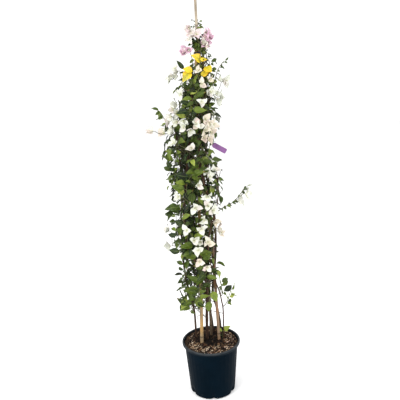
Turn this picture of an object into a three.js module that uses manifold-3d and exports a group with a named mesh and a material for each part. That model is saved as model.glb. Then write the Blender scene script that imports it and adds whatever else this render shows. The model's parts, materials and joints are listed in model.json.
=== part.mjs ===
// A white bougainvillea trained up three bamboo canes in a black nursery pot.
// Millimetres. X is to the right, Y is to the back, Z is up. The origin is the middle of the pot's flat base.

import * as THREE from "three";
import { mergeVertices } from "three/addons/utils/BufferGeometryUtils.js";
import Module from "manifold-3d";

const wasm = await Module();
wasm.setup();
const { Manifold, Mesh } = wasm;

// Driving dimensions of the pot and its compost
const potHeight = 246;
const rimRadius = 130;
const neckRadius = 119;
const footRadius = 102;
const footRounding = 12;
const rimBand = 14;
const potWall = 3;
const potSides = 36;
const notchCount = 6;
const notchDepth = 11;
const notchHeight = 46;
const soilHeight = 235;
const soilRelief = 2.6;
const seatGap = 0.35;

// Driving dimensions of the plant
const stemSides = 5;
const twigSides = 3;
const twigRadius = 1.6;
const shootRadius = 1.9;
const twigTipRadius = 1.1;
const twigStep = 26;
const petioleShare = 0.24;
const leafWidthShare = 0.33;
const leafBendShare = 0.16;
const leafKeel = 1.5;
const tipKeel = 1.1;
const footedLeaf = 42;
const yellowPetiole = 12;
const yellowWidthShare = 0.36;
const bractWidthShare = 0.42;
const bractBendShare = -0.06;
const bractKeel = 1.3;
const stalkLength = 9;

// The canes: foot and tip, and the radius at each. All three meet under the black tie.
const tieHeight = 1498;
const canes = [
  { name: "cane_left", foot: [-44, -7, 120], tip: [-10.7, -4.6, 1516], radii: [8, 5.5] },
  { name: "cane_right", foot: [40, 20, 120], tip: [1.4, -4.6, 1512], radii: [6.4, 5.5] },
  { name: "cane_back", foot: [3, 60, 120], tip: [-5, -4.1, 1745], radii: [6.4, 5.2] },
];
const caneKnots = 6;
const caneSides = 6;
const knotSwell = 1.14;

// The woody stems: the points that each passes on its way up, and its radius at the foot and at the end.
const stems = [
  {
    name: "stem_trunk",
    radii: [6.6, 3.2],
    through: [
      [-16, 22, 203], [-16, 24, 300], [-12, 14, 400], [-8, 0, 490], [-16, -30, 560], [-40, -54, 625],
      [-74, -56, 695], [-90, -40, 780], [-86, -28, 880], [-76, -32, 980], [-64, -38, 1080], [-50, -36, 1170],
      [-40, -30, 1260], [-34, -24, 1350], [-28, -22, 1440],
    ],
  },
  {
    name: "stem_left",
    radii: [5, 2.6],
    through: [
      [-68, 48, 203], [-68, 44, 300], [-70, 34, 370], [-80, 20, 440], [-94, 6, 510], [-104, 8, 600],
      [-106, 14, 690], [-108, 16, 780], [-100, 20, 880], [-94, 6, 980], [-98, -6, 1080], [-104, -14, 1160],
      [-112, -20, 1232],
    ],
  },
  {
    name: "stem_right",
    radii: [6.5, 3],
    through: [
      [46, 66, 203], [43, 60, 300], [32, 56, 380], [17, 54, 450], [28, 46, 560], [36, 32, 660],
      [39, -4, 760], [34, -42, 850], [8, -56, 950], [-14, -56, 1060], [-10, -46, 1170], [8, -40, 1270],
      [18, -30, 1370], [14, -22, 1470],
    ],
  },
  {
    name: "stem_thin",
    radii: [3.2, 1.9],
    through: [
      [62, 48, 203], [60, 42, 300], [60, 24, 380], [54, 8, 430], [46, -4, 480], [32, -18, 530],
      [16, -44, 610], [4, -62, 700], [16, -68, 790], [44, -62, 870], [56, -44, 960], [50, -34, 1040],
    ],
  },
  {
    name: "stem_back",
    radii: [5.4, 2.6],
    through: [
      [10, 88, 203], [8, 84, 300], [-14, 76, 420], [-44, 60, 560], [-60, 46, 700], [-50, 54, 850],
      [-20, 60, 980], [12, 52, 1100], [28, 34, 1220], [28, 24, 1340], [20, 22, 1440],
    ],
  },
];
const stemStep = 46;

// The column of foliage: its middle in X and its radius at a few heights.
const column = [
  { z: 360, middle: -30, radius: 52 },
  { z: 430, middle: -38, radius: 68 },
  { z: 520, middle: -26, radius: 74 },
  { z: 650, middle: -46, radius: 68 },
  { z: 770, middle: -50, radius: 78 },
  { z: 980, middle: -44, radius: 80 },
  { z: 1150, middle: -42, radius: 82 },
  { z: 1250, middle: -36, radius: 68 },
  { z: 1330, middle: -20, radius: 60 },
  { z: 1420, middle: -10, radius: 62 },
  { z: 1500, middle: -2, radius: 44 },
  { z: 1620, middle: -4, radius: 20 },
];

// Leafy shoots that stand out of the column, by the points that each passes after it leaves its stem.
const freeShoots = [
  {
    name: "shoot_top", on: "stem_right", from: 1440, size: 21,
    through: [[20, -24, 1476], [16, -18, 1525], [-14, -14, 1562], [-14, 10, 1592], [6, 8, 1612]],
  },
  {
    name: "shoot_top_right", on: "stem_right", from: 1335, size: 20,
    through: [[40, -30, 1362], [60, -20, 1392], [68, -14, 1424], [84, -8, 1448], [98, -6, 1466]],
  },
  {
    name: "shoot_left_tip", on: "stem_left", from: 1172, size: 31,
    through: [[-130, -20, 1202], [-144, -22, 1230], [-156, -24, 1260], [-164, -24, 1280]],
  },
  {
    name: "shoot_right_arch", on: "stem_right", from: 1245, size: 38,
    through: [[26, -54, 1266], [46, -42, 1258], [50, -36, 1222], [37, -36, 1168], [18, -38, 1104]],
  },
  {
    name: "shoot_right_long", on: "stem_thin", from: 850, size: 24,
    through: [[64, -48, 872], [96, -36, 882], [126, -32, 904], [148, -32, 930], [168, -30, 954]],
  },
  {
    name: "shoot_low_right", on: "stem_thin", from: 455, size: 38,
    through: [[58, -24, 478], [56, -32, 510], [48, -36, 545]],
  },
  {
    name: "shoot_low_sprig", on: "stem_thin", from: 394, size: 28,
    through: [[74, 4, 418], [84, -8, 450], [96, -12, 486]],
  },
];

// Leafy shoots that climb the column: where each starts and ends round it, in degrees from the front
// towards the right, and between which heights.
const climbingShoots = [
  { name: "shoot_low_front", around: [-42, 28], heights: [405, 610], reach: 0.95, size: 52 },
  { name: "shoot_low_left", around: [-112, -52], heights: [410, 640], reach: 1, size: 44 },
  { name: "shoot_low_back", around: [200, 128], heights: [430, 670], reach: 0.95, size: 42 },
  { name: "shoot_mid_front", around: [34, -46], heights: [590, 850], reach: 0.9, size: 50 },
  { name: "shoot_mid_left", around: [-38, -112], heights: [640, 890], reach: 1, size: 46 },
  { name: "shoot_mid_right", around: [112, 34], heights: [590, 860], reach: 0.92, size: 42 },
  { name: "shoot_mid_back", around: [222, 150], heights: [640, 900], reach: 0.95, size: 42 },
  { name: "shoot_high_front", around: [-48, 30], heights: [860, 1110], reach: 0.92, size: 52 },
  { name: "shoot_high_left", around: [-112, -48], heights: [890, 1150], reach: 1, size: 42 },
  { name: "shoot_high_right", around: [104, 34], heights: [880, 1140], reach: 0.95, size: 42 },
  { name: "shoot_high_back", around: [142, 218], heights: [890, 1160], reach: 0.95, size: 42 },
  { name: "shoot_upper_front", around: [-58, 14], heights: [1110, 1370], reach: 0.95, size: 46 },
  { name: "shoot_upper_back", around: [160, 226], heights: [1180, 1430], reach: 0.95, size: 40 },
  { name: "shoot_crown", around: [110, 70], heights: [1255, 1470], reach: 0.85, size: 36 },
];

// Sprays of bracts: what each grows on, the height that it leaves it at, its colour, and for each bloom
// its middle and the length of one bract.
const sprays = [
  {
    name: "spray_top_cream", on: "shoot_top", from: 1541, colour: "cream",
    blooms: [[-34, -6, 1582, 31], [-6, -30, 1568, 28]],
  },
  {
    name: "spray_top_pink", on: "shoot_top", from: 1512, colour: "pink",
    blooms: [[34, -10, 1562, 33], [22, -26, 1530, 29]],
  },
  {
    name: "spray_pink_left", on: "stem_trunk", from: 1420, colour: "pink",
    blooms: [[-46, -14, 1508, 33]],
  },
  {
    name: "spray_centre_high", on: "stem_right", from: 1385, colour: "cream",
    blooms: [[-6, -52, 1434, 27], [4, -58, 1386, 31], [34, -50, 1398, 29]],
  },
  {
    name: "spray_left_high", on: "stem_trunk", from: 1290, colour: "white",
    blooms: [[-94, -20, 1302, 32], [-74, -34, 1346, 29], [-86, -8, 1434, 25], [-116, -10, 1402, 25]],
  },
  {
    name: "spray_right_high", on: "stem_back", from: 1330, colour: "white",
    blooms: [[62, -10, 1314, 34], [94, 0, 1384, 32]],
  },
  {
    name: "spray_right_mid", on: "stem_right", from: 1300, colour: "white",
    blooms: [[36, -52, 1352, 32], [2, -68, 1316, 25]],
  },
  {
    name: "spray_bud_left", on: "stem_left", from: 1185, colour: "cream",
    blooms: [[-150, -26, 1192, 26], [-198, -22, 1202, 24]],
  },
  {
    name: "spray_white_left", on: "stem_left", from: 1212, colour: "white",
    blooms: [[-116, -48, 1262, 34], [-114, -66, 1214, 32]],
  },
  {
    name: "spray_front_high", on: "stem_trunk", from: 1190, colour: "white",
    blooms: [[-66, -80, 1222, 32], [-24, -88, 1234, 28]],
  },
  {
    name: "spray_cream_big", on: "stem_right", from: 1180, colour: "cream",
    blooms: [[10, -70, 1248, 33], [40, -58, 1222, 34], [8, -90, 1206, 31], [20, -84, 1170, 30]],
  },
  {
    name: "spray_front_1140", on: "stem_trunk", from: 1095, colour: "white",
    blooms: [[-112, -66, 1156, 33], [-46, -96, 1136, 30]],
  },
  {
    name: "spray_right_1020", on: "stem_right", from: 1010, colour: "white",
    blooms: [[18, -66, 1014, 31], [46, -48, 1034, 30]],
  },
  {
    name: "spray_front_980", on: "stem_right", from: 925, colour: "white",
    blooms: [[-28, -100, 988, 29], [8, -94, 942, 31], [30, -84, 878, 32]],
  },
  {
    name: "spray_front_900", on: "stem_trunk", from: 860, colour: "white",
    blooms: [[-105, -76, 940, 28], [-42, -104, 898, 34]],
  },
  {
    name: "spray_right_long", on: "shoot_right_long", from: 900, colour: "white",
    blooms: [[136, -44, 904, 28], [166, -42, 930, 26]],
  },
  {
    name: "spray_front_830", on: "stem_thin", from: 780, colour: "white",
    blooms: [[-6, -100, 846, 29], [-22, -106, 808, 30]],
  },
  {
    name: "spray_front_left", on: "stem_trunk", from: 730, colour: "white",
    blooms: [[-78, -98, 802, 31], [-52, -108, 760, 32], [-36, -102, 714, 31]],
  },
  {
    name: "spray_right_790", on: "stem_right", from: 735, colour: "cream",
    blooms: [[46, -54, 790, 36], [4, -98, 744, 33]],
  },
  {
    name: "spray_low_front", on: "stem_thin", from: 600, colour: "cream",
    blooms: [[-34, -94, 660, 30], [-4, -88, 634, 30]],
  },
  {
    name: "spray_left_faint", on: "stem_left", from: 690, colour: "white",
    blooms: [[-156, -4, 702, 27], [-158, -6, 770, 27]],
  },
  {
    name: "spray_back_low", on: "stem_back", from: 700, colour: "white",
    blooms: [[-92, 92, 760, 32], [-30, 104, 800, 32]],
  },
  {
    name: "spray_back_high", on: "stem_back", from: 1000, colour: "white",
    blooms: [
      [20, 96, 1040, 32], [-60, 104, 1060, 32], [-96, 84, 1130, 30], [-36, 84, 1290, 32], [40, 72, 1250, 32],
    ],
  },
];

// The yellow leaves under the tie: what each hangs on and from which height, where its tip points, and
// its length.
const yellowLeaves = [
  { name: "yellow_leaf_top", on: "stem_right", from: 1462, tip: [-10, -48, 1484], size: 50 },
  { name: "yellow_leaf_left", on: "stem_trunk", from: 1440, tip: [-56, -44, 1408], size: 52 },
  { name: "yellow_leaf_right", on: "stem_right", from: 1436, tip: [36, -44, 1422], size: 48 },
];

// Plain vector arithmetic on [x, y, z]
const up = [0, 0, 1];
const add = (a, b) => [a[0] + b[0], a[1] + b[1], a[2] + b[2]];
const sub = (a, b) => [a[0] - b[0], a[1] - b[1], a[2] - b[2]];
const times = (a, k) => [a[0] * k, a[1] * k, a[2] * k];
const dot = (a, b) => a[0] * b[0] + a[1] * b[1] + a[2] * b[2];
const cross = (a, b) => [a[1] * b[2] - a[2] * b[1], a[2] * b[0] - a[0] * b[2], a[0] * b[1] - a[1] * b[0]];
const size = (a) => Math.sqrt(dot(a, a));
const unit = (a) => times(a, 1 / size(a));
const mix = (a, b, t) => add(times(a, 1 - t), times(b, t));
const square = (a, axis) => unit(sub(a, times(axis, dot(a, axis))));
const radians = (degrees) => (degrees * Math.PI) / 180;

// A seeded random draw from 0 to 1, the same on every run.
function makeRandom(seed) {
  let state = (seed * 2654435761) % 4294967296;
  return () => {
    state = (Math.imul(state, 1664525) + 1013904223) >>> 0;
    return state / 4294967296;
  };
}

// A smooth route through a list of points, at t from 0 to 1.
function routePoint(points, t) {
  const last = points.length - 1;
  const place = Math.min(t * last, last - 1e-9);
  const i = Math.floor(place);
  const f = place - i;
  const before = i > 0 ? points[i - 1] : sub(times(points[0], 2), points[1]);
  const after = i + 2 <= last ? points[i + 2] : sub(times(points[last], 2), points[last - 1]);
  const [a, b, c, d] = [before, points[i], points[i + 1], after];
  return [0, 1, 2].map((k) => {
    const tangentIn = (c[k] - a[k]) / 2;
    const tangentOut = (d[k] - b[k]) / 2;
    const rise = b[k] - c[k];
    return ((2 * rise + tangentIn + tangentOut) * f + (-3 * rise - 2 * tangentIn - tangentOut)) * f * f
      + tangentIn * f + b[k];
  });
}

// The route as stations about a step apart, each with its radius.
function stationsAlong(points, step, radii) {
  let reach = 0;
  for (let i = 1; i < points.length; i += 1) reach += size(sub(points[i], points[i - 1]));
  const count = Math.max(2, Math.round(reach / step));
  const stations = [];
  for (let i = 0; i <= count; i += 1) {
    const t = i / count;
    stations.push({ at: routePoint(points, t), radius: radii[0] + (radii[1] - radii[0]) * t });
  }
  return stations;
}

// Everything placed so far, as balls kept in cubes of space, so that each new piece is tried only against
// what is near it.
const cubeSize = 34;
const placed = new Map();
const cubeKey = (x, y, z) => x * 1000003 + y * 1009 + z;
const cubeOf = (at) => at.map((v) => Math.floor(v / cubeSize));

function claim(node, balls) {
  for (const ball of balls) {
    const key = cubeKey(...cubeOf(ball.at));
    if (!placed.has(key)) placed.set(key, []);
    placed.get(key).push({ ...ball, node });
  }
}

// True where a ball would touch one that is placed. Balls of one node near one point may be passed over,
// since that is where the new piece grows.
function blocked(balls, node, point, reach) {
  for (const ball of balls) {
    const [x, y, z] = cubeOf(ball.at);
    for (let i = x - 1; i <= x + 1; i += 1) {
      for (let j = y - 1; j <= y + 1; j += 1) {
        for (let k = z - 1; k <= z + 1; k += 1) {
          for (const other of placed.get(cubeKey(i, j, k)) || []) {
            if (size(sub(other.at, ball.at)) >= other.radius + ball.radius) continue;
            if (other.node === node && size(sub(other.at, point)) < reach) continue;
            return true;
          }
        }
      }
    }
  }
  return false;
}

// Balls along straight runs from station to station, leaving out what lies within a distance of the start.
function ballsAlong(stations, step, margin, skip) {
  const balls = [];
  for (let i = 1; i < stations.length; i += 1) {
    const a = stations[i - 1];
    const b = stations[i];
    const count = Math.max(1, Math.ceil(size(sub(b.at, a.at)) / step));
    for (let k = 0; k < count; k += 1) {
      const at = mix(a.at, b.at, (k + 1) / count);
      if (size(sub(at, stations[0].at)) < skip) continue;
      balls.push({ at, radius: Math.max(a.radius, b.radius) + margin });
    }
  }
  return balls;
}

// Where a carrier that rises all the way passes a height, and its radius there.
function atHeight(stations, z) {
  let i = 1;
  while (i < stations.length - 1 && stations[i].at[2] < z) i += 1;
  const a = stations[i - 1];
  const b = stations[i];
  const t = Math.min(1, Math.max(0, (z - a.at[2]) / (b.at[2] - a.at[2])));
  return { at: mix(a.at, b.at, t), radius: a.radius + (b.radius - a.radius) * t };
}

// The foliage column's middle and radius at a height, and a point on it.
function columnAt(z) {
  let i = 1;
  while (i < column.length - 1 && column[i].z < z) i += 1;
  const a = column[i - 1];
  const b = column[i];
  const t = (z - a.z) / (b.z - a.z);
  return { middle: a.middle + (b.middle - a.middle) * t, radius: a.radius + (b.radius - a.radius) * t };
}

function onColumn(around, z, reach) {
  const { middle, radius } = columnAt(z);
  const turn = radians(around);
  return [middle + radius * reach * Math.sin(turn), -radius * reach * Math.cos(turn), z];
}

// The way out of the column at a point, level.
function outwardAt(point) {
  const { middle } = columnAt(point[2]);
  return unit([point[0] - middle, point[1], 0]);
}

// Canes and stems are placed first, where their lists put them.
const carriers = new Map();
const woodBallStep = 8;

function caneStations(cane) {
  const stations = [];
  const along = (t, swell) => ({
    at: mix(cane.foot, cane.tip, t),
    radius: (cane.radii[0] + (cane.radii[1] - cane.radii[0]) * t) * swell,
  });
  const knotHalf = 4 / size(sub(cane.tip, cane.foot));
  stations.push(along(0, 1));
  for (let i = 1; i <= caneKnots; i += 1) {
    const t = (i - 0.35) / (caneKnots + 0.2);
    stations.push(along(t - knotHalf, 1), along(t, knotSwell), along(t + knotHalf, 1));
  }
  stations.push(along(1, 1));
  return stations;
}

for (const cane of canes) carriers.set(cane.name, caneStations(cane));
for (const stem of stems) carriers.set(stem.name, stationsAlong(stem.through, stemStep, stem.radii));
for (const [name, stations] of carriers) claim(name, ballsAlong(stations, woodBallStep, 0.8, 0));

// A leaf as a frame: its root, the way its tip points, its upper face, and its sizes.
function makeLeaf(root, tipWay, faceWay, length) {
  const along = unit(tipWay);
  const face = square(faceWay, along);
  return {
    root, along, face, side: cross(along, face),
    petiole: length * petioleShare, length, half: length * leafWidthShare, bend: length * leafBendShare,
  };
}

// A point of the leaf's middle line, s from 0 at the blade's foot to 1 at its tip.
function leafMiddle(leaf, s) {
  const out = add(leaf.root, times(leaf.along, leaf.petiole + leaf.length * s));
  return sub(out, times(leaf.face, leaf.bend * s * s));
}

function leafBalls(leaf) {
  const foot = leafMiddle(leaf, 0);
  const balls = [
    { at: mix(leaf.root, foot, 0.8), radius: leaf.length > footedLeaf ? 2 : leaf.half * 0.42 },
    { at: mix(leaf.root, foot, 0.4), radius: 1.6 },
  ];
  const rows = [[0.12, 0.5], [0.36, 1], [0.62, 0.86], [0.88, 0.4]];
  for (const [s, share] of rows) {
    const middle = leafMiddle(leaf, s);
    const thick = leaf.length * 0.14;
    balls.push({ at: middle, radius: thick });
    if (share > 0.45) {
      const off = times(leaf.side, leaf.half * share - thick * 0.75);
      balls.push({ at: add(middle, off), radius: thick }, { at: sub(middle, off), radius: thick });
    }
  }
  return balls;
}

// A bloom as a frame: its middle, the way it faces, and its three bracts, each a leaf with no petiole.
function makeBloom(centre, facing, length, turn) {
  const axis = unit(facing);
  const first = square(Math.abs(axis[2]) > 0.9 ? [0, 1, 0] : up, axis);
  const second = cross(axis, first);
  const bracts = [0, 1, 2].map((k) => {
    const angle = turn + (k * 2 * Math.PI) / 3;
    const radial = add(times(first, Math.cos(angle)), times(second, Math.sin(angle)));
    const along = unit(add(times(radial, 0.8), times(axis, 0.6)));
    const face = square(sub(axis, times(radial, 0.6)), along);
    return {
      root: centre, along, face, side: cross(along, face), radial, petiole: 0, length,
      half: length * bractWidthShare, bend: length * bractBendShare,
    };
  });
  return { centre, axis, bracts, length };
}

function bloomBalls(bloom) {
  const balls = [{ at: bloom.centre, radius: bloom.length * 0.2 }];
  for (const bract of bloom.bracts) {
    for (const [s, share] of [[0.3, 0.9], [0.6, 1], [0.88, 0.6]]) {
      const middle = leafMiddle(bract, s);
      const thick = bract.length * 0.17;
      const off = times(bract.side, bract.half * share - thick * 0.7);
      balls.push({ at: middle, radius: thick });
      balls.push({ at: add(middle, off), radius: thick }, { at: sub(middle, off), radius: thick });
    }
  }
  return balls;
}

// Blooms keep their listed places as near as the pieces round them allow.
const bloomTries = 90;

function placeBloom(spray, wanted, random) {
  const [x, y, z, length] = wanted;
  for (let i = 0; i < bloomTries; i += 1) {
    const stray = (i * 24) / bloomTries;
    const shift = [random() - 0.5, random() - 0.5, random() - 0.5];
    const centre = add([x, y, z], times(shift, stray));
    const outward = outwardAt(centre);
    const lean = [random() - 0.5, random() - 0.5, random() - 0.5];
    const facing = unit(add(add(outward, times(lean, 0.8)), [0, 0, 0.15]));
    const shrink = i > bloomTries / 2 ? 0.88 : 1;
    const bloom = makeBloom(centre, facing, length * shrink, random() * 2 * Math.PI);
    const balls = bloomBalls(bloom);
    if (blocked(balls, "", centre, 0)) continue;
    claim(spray.name, balls);
    return bloom;
  }
  throw new Error(spray.name + " has no room for a bloom at " + wanted);
}

// A twig from its carrier through points, bent a little until it is clear of everything placed.
const twigTries = 240;
const twigBallStep = 5;
const twigMargin = 0.9;

function placeTwig(node, carrierName, from, through, random, radii, passesOwn) {
  const carrier = carriers.get(carrierName);
  const ownReach = passesOwn ? Infinity : 0;
  for (let i = 0; i < twigTries; i += 1) {
    const stray = (i * 46) / twigTries;
    const wander = () => [(random() - 0.5) * stray, (random() - 0.5) * stray, (random() - 0.5) * stray * 0.6];
    const foot = atHeight(carrier, from + (random() - 0.5) * stray * 1.5);
    const bent = [];
    let previous = foot.at;
    for (const point of through) {
      const fixed = point.fixed === true;
      const target = fixed ? point.at : add(point.at, wander());
      if (fixed) bent.push(add(mix(previous, target, 0.5), wander()));
      bent.push(target);
      previous = target;
    }
    const stations = stationsAlong([foot.at, ...bent], twigStep, radii);
    const balls = ballsAlong(stations, twigBallStep, twigMargin, foot.radius + 5);
    if (blocked(balls, node, foot.at, ownReach)) continue;
    const near = ballsAlong(stations, 2, twigMargin, foot.radius + 1.5).slice(0, 4);
    if (blocked(near, carrierName, foot.at, foot.radius * 2.2 + 14)) continue;
    claim(node, balls);
    carriers.set(node, stations);
    return { stations, carrierName };
  }
  throw new Error(node + " finds no clear way from " + carrierName);
}

// Each spray: its blooms first, then one twig that passes behind them.
const grownSprays = [];

function placeBlooms() {
  sprays.forEach((spray, i) => {
    const random = makeRandom(101 + i);
    const blooms = spray.blooms.map((wanted) => placeBloom(spray, wanted, random));
    grownSprays.push({ ...spray, blooms });
  });
}

const stalkFoot = (bloom) => sub(bloom.centre, times(bloom.axis, stalkLength));

// The segment of the twig that a bloom's stalk leaves, and the middle of that segment.
function branchingAt(stations, bloom) {
  const foot = stalkFoot(bloom);
  let best = null;
  for (let i = 1; i < stations.length; i += 1) {
    const middle = mix(stations[i - 1].at, stations[i].at, 0.5);
    const gap = size(sub(middle, foot));
    if (best === null || gap < best.gap) best = { segment: i - 1, middle, gap };
  }
  return best;
}

function placeSprayTwig(spray, i) {
  const random = makeRandom(301 + i);
  const through = spray.blooms.map((bloom) => ({ at: stalkFoot(bloom), fixed: true }));
  const radii = [twigRadius, twigTipRadius];
  const twig = placeTwig(spray.name, spray.on, spray.from, through, random, radii, true);
  for (const bloom of spray.blooms.slice(0, -1)) {
    const { middle } = branchingAt(twig.stations, bloom);
    const stalk = [{ at: middle, radius: 2 }, { at: bloom.centre, radius: 2 }];
    claim(spray.name, ballsAlong(stalk, 3, twigMargin, 0));
  }
  return { ...spray, ...twig };
}

// Leaves stand in pairs along a shoot, one to each side, with their tips out and down, and one ends it.
const leafTries = 16;
const firstLeafy = 2;

function tryLeaf(shoot, root, forward, hand, atTip, random) {
  const outward = outwardAt(root);
  const side = unit(cross(outward, up));
  for (let i = 0; i < leafTries; i += 1) {
    const ahead = atTip ? 1 : 0.1 + 0.6 * random();
    const lift = 0.1 + 0.8 * random();
    const droop = 0.6 * random() - 0.05;
    const wide = atTip ? 0.3 * random() : 0.7 + 0.35 * random();
    const tipWay = add(
      add(times(forward, ahead), times(side, hand * wide)),
      add(times(outward, atTip ? 0.2 : lift), [0, 0, -droop]),
    );
    const faceWay = add(times(outward, 0.5 + 0.7 * random()), [0, 0, 0.2 + 0.6 * random()]);
    const grow = (0.78 + 0.42 * random()) * (i > leafTries / 2 ? 0.78 : 1);
    const leaf = makeLeaf(root, tipWay, faceWay, shoot.size * grow);
    const balls = leafBalls(leaf);
    if (blocked(balls, shoot.name, root, 13)) continue;
    claim(shoot.name, balls);
    return leaf;
  }
  return null;
}

function placeLeaves(shoot, stations, random) {
  const leaves = [];
  const last = stations.length - 1;
  for (let i = firstLeafy; i <= last; i += 1) {
    const lower = stations[i - 1].at;
    const upper = stations[i].at;
    const forward = unit(sub(upper, lower));
    for (const [hand, place] of [[1, 0.34], [-1, 0.66]]) {
      const leaf = tryLeaf(shoot, mix(lower, upper, place), forward, hand, false, random);
      if (leaf) leaves.push({ ...leaf, segment: i, place });
    }
    if (i === last) {
      const leaf = tryLeaf(shoot, upper, forward, 1, true, random);
      if (leaf) leaves.push({ ...leaf, segment: i, place: 1 });
    }
  }
  return leaves;
}

function nearestCarrier(point) {
  let best = null;
  for (const [name, stations] of carriers) {
    const isWood = name.startsWith("stem") || name.startsWith("cane");
    if (!isWood || stations[stations.length - 1].at[2] < point[2]) continue;
    const gap = size(sub(atHeight(stations, point[2]).at, point));
    if (best === null || gap < best.gap) best = { name, gap };
  }
  return best.name;
}

function placeFreeShoot(shoot, i) {
  const random = makeRandom(501 + i);
  const through = shoot.through.map((at) => ({ at }));
  const radii = [shootRadius, twigTipRadius];
  const twig = placeTwig(shoot.name, shoot.on, shoot.from, through, random, radii, false);
  return { ...shoot, ...twig };
}

const climbBends = 5;
const climbRise = 24;
const climbWeave = 9;

function placeClimbingShoot(shoot, i) {
  const random = makeRandom(601 + i);
  const [startAround, endAround] = shoot.around;
  const [low, high] = shoot.heights;
  const points = [];
  for (let k = 0; k < climbBends; k += 1) {
    const t = k / (climbBends - 1);
    const around = startAround + (endAround - startAround) * t + climbWeave * Math.sin(t * Math.PI * 2.5 + i);
    const z = low + climbRise + (high - low - climbRise) * t;
    points.push({ at: onColumn(around, z, shoot.reach) });
  }
  const on = nearestCarrier([points[0].at[0], points[0].at[1], low]);
  const radii = [shootRadius, twigTipRadius];
  const twig = placeTwig(shoot.name, on, low, points, random, radii, false);
  return { ...shoot, ...twig };
}

const yellowTries = 64;

function placeYellowLeaf(leaf, i) {
  const random = makeRandom(701 + i);
  for (let k = 0; k < yellowTries; k += 1) {
    const foot = atHeight(carriers.get(leaf.on), leaf.from + (random() - 0.5) * k * 0.5);
    const wander = times([random() - 0.5, random() - 0.5, random() - 0.5], k * 0.5);
    const tipWay = sub(add(leaf.tip, wander), foot.at);
    const made = makeLeaf(foot.at, tipWay, [0.1, -1, 0.5], leaf.size);
    made.petiole = yellowPetiole;
    made.half = leaf.size * yellowWidthShare;
    const balls = leafBalls(made);
    if (blocked(balls.slice(2), "", foot.at, 0)) continue;
    if (blocked(balls.slice(0, 2), leaf.on, foot.at, foot.radius + 16)) continue;
    claim(leaf.name, balls);
    return { ...leaf, leaf: made, carrierName: leaf.on };
  }
  throw new Error(leaf.name + " finds no room");
}

// The label hangs by a ring of its own strip on the arching shoot, and slopes down to the right.
const label = { length: 64, width: 21, thickness: 0.8, ring: 5.4, wire: 0.7 };
const labelSlope = unit([0.86, -0.1, -0.5]);

function placeLabel() {
  const shoot = carriers.get("shoot_right_arch");
  const hold = shoot[shoot.length - 2].at;
  const way = unit(sub(shoot[shoot.length - 1].at, shoot[shoot.length - 3].at));
  const across = square([1, 0.1, 0], way);
  const hang = label.ring - shoot[shoot.length - 2].radius - label.wire - 2 * seatGap;
  const ringMiddle = add(hold, times(across, hang));
  const plateStart = add(ringMiddle, times(across, label.ring - label.wire / 2));
  const balls = [{ at: ringMiddle, radius: label.ring + 2 * label.wire }];
  for (let reach = 6; reach < label.length; reach += 6) {
    balls.push({ at: add(plateStart, times(labelSlope, reach)), radius: label.width / 2 });
  }
  claim("label", balls);
  return { way, ringMiddle, plateStart };
}

// The order of placing: blooms and yellow leaves take their places, twigs find their ways between them,
// and leaves fill what is left.
placeBlooms();
const grownYellow = yellowLeaves.map(placeYellowLeaf);
const routedFree = freeShoots.map(placeFreeShoot);
const hungLabel = placeLabel();
const routedSprays = grownSprays.map(placeSprayTwig);
const routedClimbing = climbingShoots.map(placeClimbingShoot);
const grownShoots = [...routedFree, ...routedClimbing].map((shoot, i) => {
  const leaves = placeLeaves(shoot, shoot.stations, makeRandom(801 + i));
  return { ...shoot, leaves };
});

// Solids

// A closed geometry as a solid: shared corners merged and collapsed triangles left out.
function solidFrom(geometry) {
  const bare = geometry.clone();
  bare.deleteAttribute("normal");
  bare.deleteAttribute("uv");
  const merged = mergeVertices(bare, 1e-3);
  const corners = merged.index.array;
  const kept = [];
  for (let i = 0; i < corners.length; i += 3) {
    const [a, b, c] = corners.slice(i, i + 3);
    if (a !== b && b !== c && c !== a) kept.push(a, b, c);
  }
  const vertProperties = merged.attributes.position.array;
  return new Manifold(new Mesh({ numProp: 3, vertProperties, triVerts: new Uint32Array(kept) }));
}

function geometryOf(solid) {
  const mesh = solid.getMesh();
  const geometry = new THREE.BufferGeometry();
  geometry.setAttribute("position", new THREE.BufferAttribute(mesh.vertProperties, 3));
  geometry.setIndex(new THREE.BufferAttribute(mesh.triVerts, 1));
  return geometry;
}

// A skin over rings of points that all turn the same way, closed at both ends. It may end in one point.
function loft(rings) {
  const points = rings.flat();
  const sides = rings[0].length;
  const faces = [];
  for (let i = 1; i < rings.length; i += 1) {
    const lower = (i - 1) * sides;
    const upper = i * sides;
    const toPoint = rings[i].length === 1;
    for (let k = 0; k < sides; k += 1) {
      const next = (k + 1) % sides;
      faces.push(lower + k, lower + next, toPoint ? upper : upper + next);
      if (!toPoint) faces.push(lower + k, upper + next, upper + k);
    }
  }
  const endRing = rings[rings.length - 1];
  const endStart = (rings.length - 1) * sides;
  for (let k = 1; k < sides - 1; k += 1) faces.push(0, k + 1, k);
  for (let k = 1; k < endRing.length - 1; k += 1) faces.push(endStart, endStart + k, endStart + k + 1);
  const geometry = new THREE.BufferGeometry();
  geometry.setAttribute("position", new THREE.Float32BufferAttribute(points.flat(), 3));
  geometry.setIndex(faces);
  return solidFrom(geometry);
}

// Rings round the stations of a tube with flat sides, grown by a margin.
function ringsAlong(stations, sides, grown, firstAcross) {
  let across = firstAcross || null;
  return stations.map((station, i) => {
    const a = stations[Math.max(0, i - 1)].at;
    const b = stations[Math.min(stations.length - 1, i + 1)].at;
    const along = unit(sub(b, a));
    across = square(across || (Math.abs(along[0]) > 0.8 ? [0, 1, 0] : [1, 0, 0]), along);
    const second = cross(along, across);
    const ring = [];
    for (let k = 0; k < sides; k += 1) {
      const turn = (2 * Math.PI * k) / sides;
      const spoke = add(times(across, Math.cos(turn)), times(second, Math.sin(turn)));
      ring.push(add(station.at, times(spoke, station.radius + grown)));
    }
    return ring;
  });
}

function tube(stations, sides, grown) {
  return loft(ringsAlong(stations, sides, grown));
}

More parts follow.
